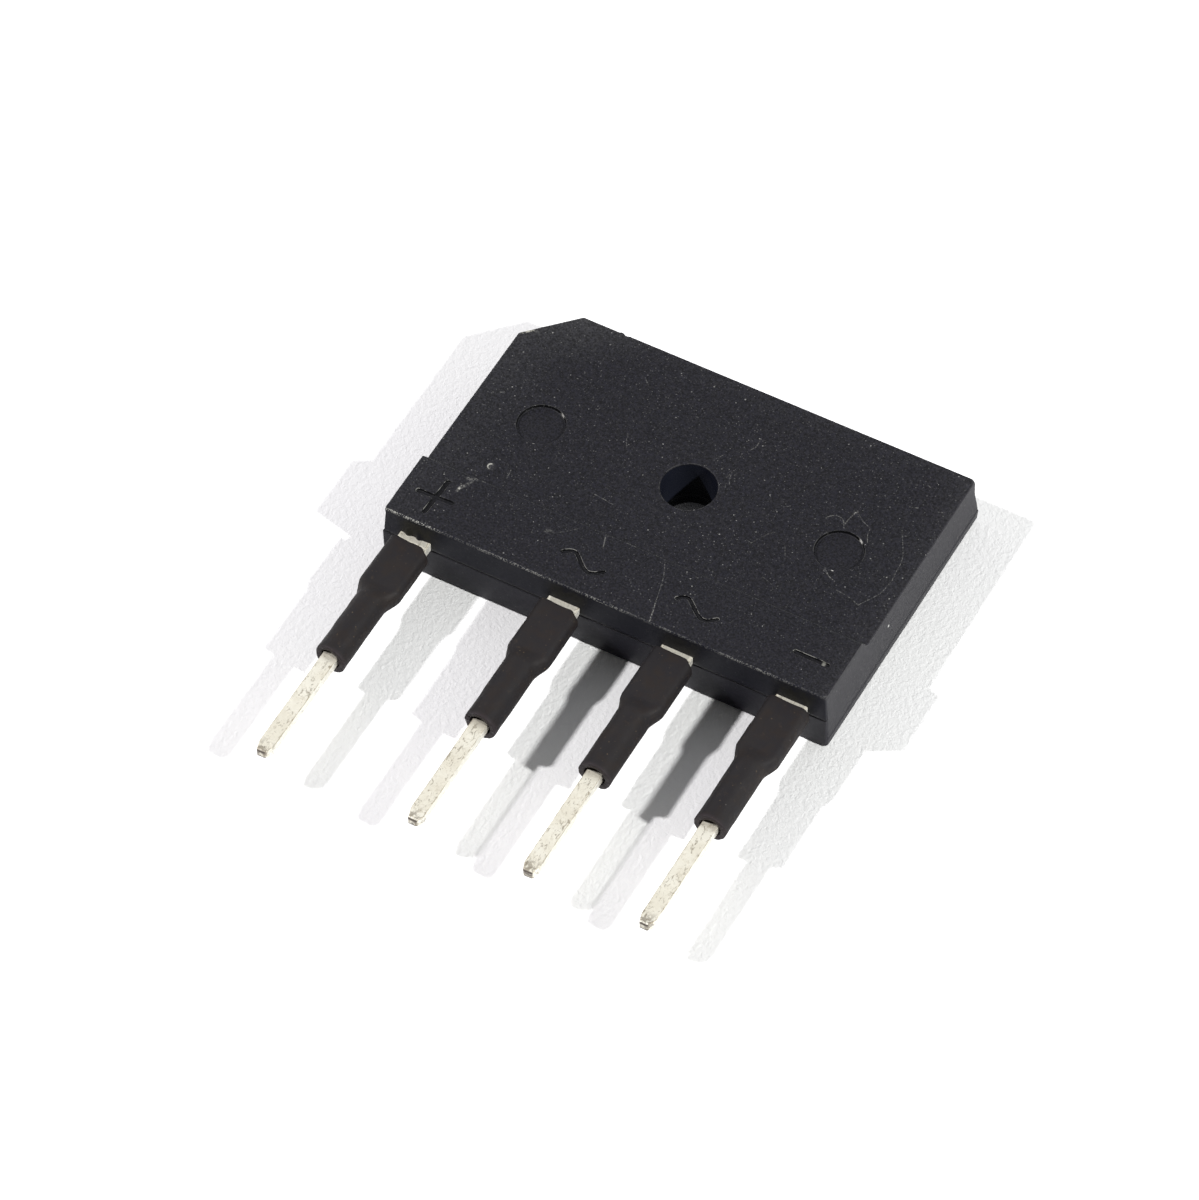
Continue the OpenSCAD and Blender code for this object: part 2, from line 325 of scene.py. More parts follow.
def outline():
    """The widest outline of the case, anticlockwise: points, outward normals, corner numbers, radii, mitre vectors."""
    k = 20.495  # the chamfer lies on y - x = k
    corner = [(-HW, FRONT), (HW, FRONT), (HW, BACK), (BACK - k, BACK), (-HW, k - HW)]
    radius = [0.42, 0.42, 0.55, 0.30, 0.24]
    c = np.array(corner, float)
    pts, nor, number, rad, mitre = [], [], [], [], []
    n = len(c)
    arcs = []
    for i in range(n):
        a, b, d = c[i - 1], c[i], c[(i + 1) % n]
        u, v = (b - a) / np.hypot(*(b - a)), (d - b) / np.hypot(*(d - b))
        turn = math.acos(np.clip(u @ v, -1, 1))
        t = radius[i] * math.tan(turn / 2)
        nu, nv = np.array([u[1], -u[0]]), np.array([v[1], -v[0]])
        centre = b - u * t - nu * radius[i]
        a0 = math.atan2(nu[1], nu[0])
        m = max(5, int(turn / math.radians(8)))
        ang = a0 + np.linspace(0, turn, m + 1)
        q = np.column_stack([np.cos(ang), np.sin(ang)])
        arcs.append((centre + radius[i] * q, q, (nu + nv) / (1 + nu @ nv)))
    for i in range(n):
        p, q, corner_out = arcs[i]
        pts.append(p)
        nor.append(q)
        number += [i] * len(p)
        rad += [radius[i]] * len(p)
        mitre += [corner_out] * len(p)
        a, b = p[-1], arcs[(i + 1) % n][0][0]
        length = np.hypot(*(b - a))
        s = np.arange(0.11, length - 0.05, 0.11) / length
        line = a + s[:, None] * (b - a)
        if i in (1, 4):  # the two long side walls also need the rows of the band step
            ys = np.array(STEP_ROWS)
            keep = np.abs(line[:, 1][:, None] - ys[None]).min(1) > 0.05
            extra = np.column_stack([np.full(len(ys), a[0]), ys])
            line = np.vstack([line[keep], extra])
            line = line[np.argsort(line[:, 1] if i == 1 else -line[:, 1])]
        pts.append(line)
        nor.append(np.repeat(q[-1:], len(line), 0))
        number += [-1] * len(line)
        rad += [0.0] * len(line)
        mitre += [np.zeros(2)] * len(line)
    return np.vstack(pts), np.vstack(nor), np.array(number), np.array(rad), np.array(mitre)


STEP_ROWS = [-6.24, -6.13, -6.07, -6.03, -6.00, -5.97, -5.94, -5.90, -5.80, -5.655, -5.51, -5.41, -5.37, -5.34,
             -5.31, -5.28, -5.24, -5.14]


def build_case():
    base, n, number, r_drawn, mitre = outline()
    m = len(base)
    x, y = base.T
    on_front = n[:, 1] < -0.75
    left = n[:, 0] < -0.5
    # the joint line of the mould: high on the lead side and round its left corner, low on the other sides
    joint = np.where(on_front, FRONT_Z, SIDE_Z).astype(float)
    near_left = left & (y < -9.0)
    joint = np.where(near_left, lerp(FRONT_Z, SIDE_Z, smooth((y + 9.75) / 0.5)), joint)
    k = np.clip(-n[:, 1], 0, 1)
    right_corner = (n[:, 0] > 0.02) & (k > 0.02) & ~on_front
    joint = np.where(right_corner, lerp(SIDE_Z, FRONT_Z, smooth((k - 0.35) / 0.4)), joint)
    left_corner = (n[:, 0] < -0.02) & (y < -10.3)
    joint = np.where(left_corner, FRONT_Z, joint)
    step_in = left & (y < -9.3)  # here the lower half stands proud of the upper one
    ledge = np.where(on_front, 0.0, 0.04)
    ledge = np.where(step_in, 0.10, ledge)
    groove = np.where(on_front, 0.10, 0.025)

    # local wear of the upper edge: rounding radius
    rt = np.full(m, 0.055)
    rt = np.where(on_front, 0.045, rt)
    rt = np.where(n[:, 0] > 0.5, 0.028, rt)
    back_side = (n[:, 1] > 0.3) | left
    rt = np.where(back_side, 0.13, rt)
    chip = smooth(1 - np.abs(((x + 14.42) + (y - 6.03)) / 2) / 0.62) * ((y - x) > 20.2)
    chip_n = 0.5 + 0.5 * vnoise(x * 1.3, y * 1.3, 0.16, 21)
    rt = rt + chip * (0.10 + 0.14 * chip_n)
    far = smooth(1 - np.hypot(x - 14.75, y - 8.45) / 0.75)
    rt = rt + far * (0.04 + 0.04 * vnoise(x, y, 0.2, 22))
    rt = rt + np.where(on_front, 0.012, 0.008) * vnoise(x, y, 0.17, 23)
    rt = rt + smooth(1 - np.hypot(x - 14.6, y + 10.4) / 0.5) * 0.03
    # the sides seen against the floor keep their outline although the edge is rounded
    keep = np.where(back_side, 0.36 * rt, 0.0)
    rb = 0.17 + 0.12 * smooth(1 - np.hypot(np.abs(x) - 14.85, y + 10.6) / 0.7)

    # the scar of the gate on the far edge
    gate = np.where(n[:, 1] > 0.9, 0.07 * np.exp(-((x + 9.18) / 0.10) ** 2) - 0.07 * np.exp(-((x + 8.86) / 0.13) ** 2), 0)
    # resin that crept over the first lead, just above it
    creep = 0.13 * np.exp(-((x + 12.98) / 0.20) ** 2) + 0.12 * np.exp(-((x + 12.28) / 0.16) ** 2) + 0.03 * np.exp(-((x + 12.0) / 0.4) ** 2)
    creep = np.where(on_front, creep, 0)

    crown = profile_z(y)

    def ring(z, extra, shrink=0.0):
        d = inset_at(z, n) + extra
        xy = base - n * d[:, None]
        # upright corners: their radius changes with height
        r = np.full(m, 0.20)
        r = np.where(number == 0, lerp(0.12, 0.26, smooth((z - 2.55) / 0.1)), r)
        r = np.where(number == 2, lerp(0.10, 0.44, smooth((z - 1.0) / 2.3)), r)
        r = np.where(number == 3, 0.24, r)
        r = np.maximum(r - shrink, 0.045)
        arc = number >= 0
        xy[arc] += ((r_drawn - d - r)[:, None] * (mitre - n))[arc]
        return np.column_stack([xy, z])

    rings = []
    for a in (0, 30, 60, 90):
        a = math.radians(a)
        z = rb * (1 - math.cos(a))
        rings.append(ring(z, rb * (1 - math.sin(a)), rb * (1 - math.sin(a))))
    rings.append(ring(joint * 0.5, np.zeros(m)))
    rings.append(ring(joint - 0.14, np.zeros(m)))
    rings.append(ring(joint - 0.065, 0.004 * np.ones(m)))
    rings.append(ring(joint - 0.045, 0.014 + 0.1 * groove))
    rings.append(ring(joint - 0.032, 0.8 * groove + 0.5 * ledge))
    rings.append(ring(joint + 0.028, groove + ledge))
    rings.append(ring(joint + 0.040, ledge + 0.006 + 0.2 * groove))
    top0 = crown - rt
    fade = ledge + np.where(on_front, 0.003, 0.0)
    for t in (0.0, 0.10, 0.29, 0.325, 0.36, 0.42, 0.50, 0.60, 0.70, 0.88):
        z = lerp(joint + 0.055, top0, t)
        over = creep * np.interp(z, [3.15, 3.19, 3.24, 3.34, 3.55, 3.75], [0, 1, 1, 0.6, 0.2, 0])
        rings.append(ring(z, fade * (1 - 0.75 * smooth((z - joint) / 2.6)) - keep * smooth((z - 2.4) / 1.2)
                          - gate * smooth((z - 2.6) / 0.9) - over))
    for a in (0, 22, 45, 67, 90):
        a = math.radians(a)
        z = top0 + rt * math.sin(a)
        e = 0.25 * fade + rt * (1 - math.cos(a)) - gate - keep
        q = ring(z, e, rt * (1 - math.cos(a)))
        # chipped and worn places are uneven
        rough = (chip * 0.035 + far * 0.012) * math.sin(2 * a)
        q[:, 2] -= np.maximum(0, rough * vnoise(x * 1.7, y * 1.7, 0.11, 31 + int(a * 10)))
        q[:, 2] = np.minimum(q[:, 2], crown)
        rings.append(q)
    # the last ring lies on the marked side, so the heights come from there
    rings[-1][:, 2] = top_z(rings[-1][:, :2])
    inner = ring(rings[-1][:, 2], 0.25 * fade + rt + 0.035 - gate - keep, rt + 0.035)

    # marked side: points, then a Delaunay net
    border = rings[-1][:, :2]
    na = 104
    ang = np.arange(na) * 2 * PI / na
    circ = np.column_stack([np.cos(ang), np.sin(ang)])
    hole_top = circ * (HOLE_R + 0.055)
    feats = [inner[:, :2], circ * (HOLE_R + 0.09)]
    xs = np.arange(-14.45, 14.46, 0.24)
    for yy in STEP_ROWS:
        feats.append(np.column_stack([xs, np.full(len(xs), yy)]))
    for cx, cy in RECESS:
        for r in (1.34, 1.38, 1.41, 1.425, 1.44, 1.452, 1.462, 1.477, 1.492, 1.505, 1.52, 1.56):
            feats.append(np.array([cx, cy]) + circ * r)
    for line, hw in MARKS:
        feats.append(rows_along(line, (hw - 0.075, hw - 0.05, hw - 0.035, hw - 0.02, hw - 0.008, hw + 0.01, hw + 0.03,
                                       hw + 0.07), 0.06))
    for line, hw, _, _ in SCRATCHES:
        feats.append(rows_along(line, (hw * 0.5, hw, hw * 1.6), 0.07))
    dx, dy, dr, _ = DENT
    for r in (0.25, 0.45, 0.62, 0.75, 0.88, 1.0, 1.12, 1.25, 1.42, 1.65):
        feats.append(np.array([dx, dy]) + dr * r * circ[:: 4])
    feats = np.vstack(feats)
    cell = np.round(feats / 0.014).astype(int)
    feats = feats[np.unique(cell, axis=0, return_index=True)[1]]
    # a loose fill between the features
    gx, gy = np.meshgrid(np.arange(-14.6, 14.6, 0.42), np.arange(-10.4, 8.4, 0.42))
    fill = np.column_stack([gx.ravel(), gy.ravel()])
    fill = fill + 0.10 * np.column_stack([vnoise(fill[:, 0], fill[:, 1], 0.3, 41), vnoise(fill[:, 0], fill[:, 1], 0.3, 42)])
    taken = set(map(tuple, np.floor(np.vstack([feats, border]) / 0.16).astype(int)))
    keep = [not any((i + a, j + b) in taken for a in (-1, 0, 1) for b in (-1, 0, 1))
            for i, j in np.floor(fill / 0.16).astype(int)]
    fill = fill[keep]
    free = np.vstack([feats, fill])
    free = free[np.hypot(*free.T) > HOLE_R + 0.075]
    # inside the border by a little
    depth = np.full(len(free), 1e9)
    nxt = np.roll(border, -1, 0)
    for i0 in range(0, len(free), 4000):
        q = free[i0:i0 + 4000]
        e = nxt - border
        cr = e[None, :, 0] * (q[:, None, 1] - border[None, :, 1]) - e[None, :, 1] * (q[:, None, 0] - border[None, :, 0])
        d = cr / np.hypot(*e.T)[None]
        close = np.hypot(q[:, None, 0] - border[None, :, 0], q[:, None, 1] - border[None, :, 1])
        j = close.argmin(1)
        depth[i0:i0 + 4000] = np.minimum(d[np.arange(len(q)), j], d[np.arange(len(q)), j - 1])
    free = free[depth > 0.022]
    cd, tri, where = net(border, hole_top, free)
    verts = [np.column_stack([cd, top_z(cd)])]
    b_ix = np.array([where[i] for i in range(m)])
    h_ix = np.array([where[m + i] for i in range(na)])
    count = len(cd)
    faces = [tuple(int(v) for v in t) for t in tri]
    verts[0][b_ix, 2] = rings[-1][:, 2]

    def add_ring(v):
        nonlocal count
        verts.append(v)
        count += len(v)
        return np.arange(count - len(v), count)

    def bridge(a, b):
        for i in range(len(a)):
            j = (i + 1) % len(a)
            faces.append((int(a[i]), int(a[j]), int(b[j]), int(b[i])))

    low = add_ring(rings[0])
    prev = low
    for r in rings[1:-1]:
        cur = add_ring(r)
        bridge(prev, cur)
        prev = cur
    bridge(prev, b_ix)
    # hole wall
    prev = h_ix
    depths = [(0.035, 3.692), (0.018, 3.678), (0.006, 3.655), (0.0, 3.61), (0.0, 3.2), (0.0, 2.5), (0.0, 1.7),
              (0.0, 0.92), (-0.012, 0.89), (-0.012, 0.86), (0.004, 0.84), (0.008, 0.5), (0.012, 0.07), (0.03, 0.02), (0.06, 0.0)]
    for e, z in depths:
        rr = (HOLE_R + e) * np.ones(na)
        if 3.6 < z < 3.7:
            rr += 0.006 * vnoise(ang * 3, z * 0 * ang, 0.2, 51)
        cur = add_ring(np.column_stack([circ * rr[:, None], np.full(na, z)]))
        bridge(prev, cur)
        prev = cur
    # seating face
    bx, by = np.meshgrid(np.arange(-14.4, 14.5, 0.9), np.arange(-10.1, 8.2, 0.9))
    bf = np.column_stack([bx.ravel(), by.ravel()])
    bf = bf[(np.hypot(*bf.T) > HOLE_R + 0.3) & ((bf[:, 1] - bf[:, 0]) < 19.9)]
    low_xy = rings[0][:, :2]
    bd, tri, at = net(low_xy, circ * (HOLE_R + 0.06), bf)
    extra = add_ring(np.column_stack([bf, np.zeros(len(bf))]))
    name_of = np.zeros(len(bd), int)
    for i, j in at.items():
        name_of[j] = low[i] if i < m else prev[i - m] if i < m + na else extra[i - m - na]
    faces += [tuple(int(name_of[v]) for v in reversed(t)) for t in tri]
    ob = new_mesh("case_moulding", np.vstack(verts), faces)
    return ob


def net(border, hole, free):
    """Delaunay net between an outline and a hole: points, triangles, and each input point's number in it."""
    m, h = len(border), len(hole)
    pts = np.vstack([border, hole, free])
    edges = [(i, (i + 1) % m) for i in range(m)] + [(m + i, m + (i + 1) % h) for i in range(h)]
    # laid out slightly bent, so that no three outline points fall on one line; the points keep their own places
    bent = pts * (1 - 4e-4 * (pts ** 2).sum(1))[:, None]
    out = delaunay_2d_cdt([tuple(q) for q in bent], edges, [], 0, 1e-9, True)
    cd = np.array([tuple(v) for v in out[0]])
    for j, o in enumerate(out[3]):
        if o:
            cd[j] = pts[o[0]]
    where = {i: j for j, o in enumerate(out[3]) for i in o}
    tri = [tuple(f) for f in out[2]]
    # everything that can be reached from one inner point without crossing the outline or the hole
    wall = {frozenset((where[i], where[j])) for i, j in edges}
    beside = {}
    for k, f in enumerate(tri):
        for q in range(3):
            beside.setdefault(frozenset((f[q], f[q - 1])), []).append(k)
    start = where[m + h]
    stack = [next(k for k, f in enumerate(tri) if start in f)]
    kept = set(stack)
    while stack:
        f = tri[stack.pop()]
        for q in range(3):
            e = frozenset((f[q], f[q - 1]))
            if e in wall:
                continue
            for k in beside[e]:
                if k not in kept:
                    kept.add(k)
                    stack.append(k)
    return cd, [tri[k] for k in sorted(kept)], where


case = build_case()


def open_edges(me):
    bm = bmesh.new()
    bm.from_mesh(me)
    n = sum(1 for e in bm.edges if len(e.link_faces) != 2)
    bm.free()
    return n


print("case: faces", len(case.data.polygons), "open edges", open_edges(case.data))

# The room the leads, chips and clips fill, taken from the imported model: what a block has that the case has not.
room = block("room", -14.2, 14.2, -10.3, 8.0, 0.45, 2.55)
room_top = block("room_top", -14.2, 14.2, -10.3, -8.0, 2.5, 3.5)
boolean(room, room_top, "UNION")
solid = welded_copy("case", "solid")
boolean(room, solid, "DIFFERENCE")
bm = bmesh.new()
bm.from_mesh(room.data)
seen, groups = set(), []
for v in bm.verts:
    if v in seen:
        continue
    stack, group = [v], []
    seen.add(v)
    while stack:
        w = stack.pop()
        group.append(w)
        for e in w.link_edges:
            o = e.other_vert(w)
            if o not in seen:
                seen.add(o)
                stack.append(o)
    groups.append(group)
for g in groups:
    far = max(math.hypot(v.co.x, v.co.y) for v in g) / MM
    if far < 2.2:
        bmesh.ops.delete(bm, geom=g, context="VERTS")
bm.to_mesh(room.data)
bm.free()
for i, lx in enumerate(LEAD_X):
    slot_cut = block("slot_%d" % i, lx - 1.025, lx + 1.025, -10.9, -10.0, LEAD_Z0, LEAD_Z1)
    boolean(room, slot_cut, "UNION")
    drop(slot_cut)
boolean(case, room, "DIFFERENCE")
for o in (room, room_top, solid):
    drop(o)
print("case with room: faces", len(case.data.polygons), "open edges", open_edges(case.data))
shade(case, 38)

# Marks of use, by place on the case, with a painted highlight on the dent's lower-left rim: every value comes from the
# vertex's position.
p = coords(case.data)
xy, zz = p[:, :2], p[:, 2]
on_top = zz > 3.3
wear_and_dent_highlight = np.zeros(len(p))
for line, hw, depth, bright in SCRATCHES:
    d = line_dist(xy, resample(line, 0.08))
    wear_and_dent_highlight = np.maximum(wear_and_dent_highlight, bright * (1 - smooth((d - hw * 0.45) / (hw * 0.75))) * on_top)
r = np.hypot(xy[:, 0] - DENT[0], xy[:, 1] - DENT[1])
# painted highlight: the dent's ring is brighter on its lower-left side
side = 0.5 + 0.5 * np.clip(((xy[:, 1] - DENT[1]) * -0.9 + (xy[:, 0] - DENT[0]) * -0.3) / DENT[2], -1, 1)
wear_and_dent_highlight = np.maximum(wear_and_dent_highlight, np.interp(r, [0, DENT[2] * 0.6, DENT[2] * 1.05, DENT[2] * 1.35], [0.08, 0.35, 0.3, 0]) * (0.1 + 0.9 * side))
chip = smooth(1 - np.abs(((xy[:, 0] + 14.42) + (xy[:, 1] - 6.03)) / 2) / 0.55) * ((xy[:, 1] - xy[:, 0]) > 19.98) * smooth((zz - 3.42) / 0.1)
wear_and_dent_highlight = np.maximum(wear_and_dent_highlight, chip)
wear_and_dent_highlight = np.maximum(wear_and_dent_highlight, 0.6 * smooth(1 - np.sqrt((xy[:, 0] - 14.62) ** 2 + (xy[:, 1] - 8.3) ** 2 + (zz - 3.62) ** 2) / 0.2))
wear_and_dent_highlight = np.maximum(wear_and_dent_highlight, 0.35 * smooth(1 - np.sqrt((xy[:, 0] - 14.5) ** 2 + (xy[:, 1] + 10.33) ** 2 + (zz - 4.55) ** 2) / 0.2))
attribute(case.data, "wear_and_dent_highlight", wear_and_dent_highlight)
attribute(case.data, "pit", mark_cut(xy) * (zz > 4.3))

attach(case, "root")
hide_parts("case")

# ------------------------------------------------------------------ lofts


def loft(name, rings, ends="cap", angle=35):
    """Joins rings of equal length. ends: cap closes them with fans, loop joins the last to the first."""
    n = len(rings[0])
    verts = np.vstack(rings)
    faces = []
    k = len(rings)
    for i in range(k if ends == "loop" else k - 1):
        a, b = i * n, ((i + 1) % k) * n
        for j in range(n):
            jj = (j + 1) % n
            faces.append((a + j, a + jj, b + jj, b + j))
    if ends == "cap":
        for i, flip in ((0, True), (k - 1, False)):
            c = rings[i].mean(0)
            verts = np.vstack([verts, c])
            ci = len(verts) - 1
            for j in range(n):
                jj = (j + 1) % n
                f = (i * n + j, i * n + jj, ci)
                faces.append(tuple(reversed(f)) if flip else f)
    return new_mesh(name, verts, faces, angle)


def even(poly, n):
    """n points at an even spacing round a closed outline, from its first point."""
    q = np.vstack([poly, poly[:1]])
    s = np.concatenate([[0], np.cumsum(np.hypot(*np.diff(q, axis=0).T))])
    t = np.linspace(0, s[-1], n, endpoint=False)
    return np.column_stack([np.interp(t, s, q[:, 0]), np.interp(t, s, q[:, 1])])


def rounded_box(w, h0, h1, r, m=8):
    """Rounded rectangle from -w to w and h0 to h1, anticlockwise from the middle of the right side."""
    out = [(w, (h0 + h1) / 2)]
    for cx, cy, a0 in ((w - r, h1 - r, 0), (-w + r, h1 - r, 90), (-w + r, h0 + r, 180), (w - r, h0 + r, 270)):
        for i in range(m + 1):
            a = math.radians(a0 + 90 * i / m)
            out.append((cx + r * math.cos(a), cy + r * math.sin(a)))
    return np.array(out)


# ------------------------------------------------------------------ leads

# x of the left and right corners of each end face, from the lead's own middle, and where the bevels start
TIPS = {
    "plus": (-0.30, 0.20, 0.72, 0.55),
    "ac_left": (-0.30, 0.23, 0.85, 0.50),
    "ac_right": (-0.27, 0.27, 0.60, 0.52),
    "minus": (-0.31, 0.18, 0.70, 0.60),
}


def blade_ring(cx, wl, wr, z0, z1, y, seed, wob=0.0):
    """One cross-section of a lead: flat faces, small rolled corners."""
    rt, rb = 0.065, 0.05
    pts = []
    # right side up, top right to left, left side down, bottom left to right
    for i in range(5):
        pts.append((wr, lerp(z0 + rb, z1 - rt, i / 4)))
    for a in (30, 60):
        a = math.radians(a)
        pts.append((wr - rt + rt * math.cos(a), z1 - rt + rt * math.sin(a)))
    for i in range(13):
        pts.append((lerp(wr - rt, -wl + rt, i / 12), z1))
    for a in (120, 150):
        a = math.radians(a)
        pts.append((-wl + rt + rt * math.cos(a), z1 - rt + rt * math.sin(a)))
    for i in range(5):
        pts.append((-wl, lerp(z1 - rt, z0 + rb, i / 4)))
    for a in (210, 240):
        a = math.radians(a)
        pts.append((-wl + rb + rb * math.cos(a), z0 + rb + rb * math.sin(a)))
    for i in range(7):
        pts.append((lerp(-wl + rb, wr - rb, i / 6), z0))
    for a in (300, 330):
        a = math.radians(a)
        pts.append((wr - rb + rb * math.cos(a), z0 + rb + rb * math.sin(a)))
    q = np.array(pts)
    if wob:
        q[:, 1] += wob * vnoise(q[:, 0] * 2.2 + seed, np.full(len(q), y), 0.32, seed)
        q[:, 0] += wob * 0.8 * vnoise(q[:, 1] * 2.2 + seed, np.full(len(q), y), 0.42, seed + 3)
    return np.column_stack([cx + q[:, 0], np.full(len(q), y), q[:, 1]])


leads = []
for i, key in enumerate(LEAD_N):
    cx = LEAD_X[i]
    tl, tr, bl, br = TIPS[key]
    ys = [-9.9, -10.3, -10.5, -10.58]
    ys += list(np.arange(-10.64, -12.6, -0.09)) + list(np.arange(-12.8, -19.6, -0.5)) + list(np.arange(-19.7, -27.2, -0.085))
    ys += list(np.arange(-27.25, -28.02, -0.055)) + [-28.04, -28.075, -28.09, -28.1]
    rings = []
    for y in ys:
        if y > -14.9:
            w = 1.025
        else:
            w = lerp(1.025, 0.5, min(1, (-14.9 - y) / 0.6))
        wl = wr = w
        t = (TIP - y)
        if y < TIP + bl:
            k = 1 - (y - TIP) / bl
            wl = lerp(0.5, -tl, k ** 1.25)
        if y < TIP + br:
            k = 1 - (y - TIP) / br
            wr = lerp(0.5, tr, k ** 1.6)
        z0, z1 = LEAD_Z0, LEAD_Z1
        if y < TIP + 0.22:  # the coined end rolls down a little
            k = 1 - (y - TIP) / 0.22
            z1 -= 0.05 * k ** 2
            z0 += 0.03 * k ** 2
        if y < TIP + 0.06:
            k = 1 - (y - TIP) / 0.06
            wl -= 0.03 * k ** 2
            wr -= 0.03 * k ** 2
            z1 -= 0.035 * k ** 2
            z0 += 0.03 * k ** 2
        wob = 0.0 if y > -10.55 else 0.012
        if -19.6 < y < -11.8:
            wob = 0.0
        ring = blade_ring(cx, wl, wr, z0, z1, y, 60 + 7 * i, wob)
        # keep inside the lead's own thickness
        ring[:, 2] = np.clip(ring[:, 2], LEAD_Z0 - 0.012, LEAD_Z1 + 0.012)
        ring[:, 1] = np.maximum(ring[:, 1], TIP)
        rings.append(ring)
    blade = loft("lead_%s_blade" % key, rings, "cap", 40)
    inner = welded_copy("lead_" + key, "inner")
    cutter = block("cutter", cx - 2, cx + 2, -30, -10.15, 2, 4)
    boolean(inner, cutter, "DIFFERENCE")
    boolean(blade, inner, "UNION")
    drop(cutter)
    drop(inner)
    shade(blade, 40)
    print("lead", key, len(blade.data.polygons), "open", open_edges(blade.data))
    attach(blade, "root")
    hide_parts("lead_" + key)
    leads.append(blade)

# ------------------------------------------------------------------ sleeves

# per sleeve: start at left and right, open end, tube radius, lean of the open end, how ragged
SLEEVES = {
    "plus": dict(s0=-11.10, s1=-11.22, end=-20.42, r=1.00, lean=-0.10, tilt=0.05, ragged=0.035, notch=None, seed=101),
    "ac_left": dict(s0=-11.03, s1=-11.07, end=-20.42, r=1.03, lean=-0.04, tilt=0.02, ragged=0.06, notch=(2.75, 0.10), seed=202),
    "ac_right": dict(s0=-10.93, s1=-11.00, end=-20.42, r=1.04, lean=-0.02, tilt=0.02, ragged=0.05, notch=(4.9, 0.05), seed=303),
    "minus": dict(s0=-10.88, s1=-10.91, end=-20.42, r=1.00, lean=0.02, tilt=0.00, ragged=0.025, notch=None, seed=404),
}
NS = 96


def sleeve_section(y, r, seed):
    """Outer outline of a sleeve at y, seen along the lead, about the lead's middle."""
    flat = even(rounded_box(1.375, -0.645, 0.645, 0.50, 10), NS)
    a = np.arange(NS) * 2 * PI / NS
    tube = np.column_stack([np.cos(a), np.sin(a)]) * r
    k = float(smooth((-14.62 - y) / 1.28))
    k = 0.75 * k + 0.25 * float(np.clip((-14.75 - y) / 0.95, 0, 1))
    q = lerp(flat, tube, k)
    # the top face sags a little between the edges of the lead
    if k < 1:
        q[:, 1] -= (1 - k) * 0.03 * np.exp(-(q[:, 0] / 0.6) ** 2) * np.sign(q[:, 1]) * (np.abs(q[:, 1]) > 0.5)
    bump = 0.018 * vnoise(a * 2.2 / (2 * PI) * 4, np.full(NS, y), 0.9, seed) + 0.008 * vnoise(a * 3.1, np.full(NS, y), 0.35, seed + 1)
    # the noise has to close round the ring
    w = smooth(np.minimum(a, 2 * PI - a) / 0.6)
    q = q * (1 + (bump * w)[:, None])
    return q


def sleeve_inner(y, r_in):
    flat = even(rounded_box(1.037, -0.312, 0.312, 0.075, 10), NS)
    a = np.arange(NS) * 2 * PI / NS
    tube = np.column_stack([np.cos(a), np.sin(a)]) * r_in
    k = float(smooth((-15.0 - y) / 0.7))
    return lerp(flat, tube, k)


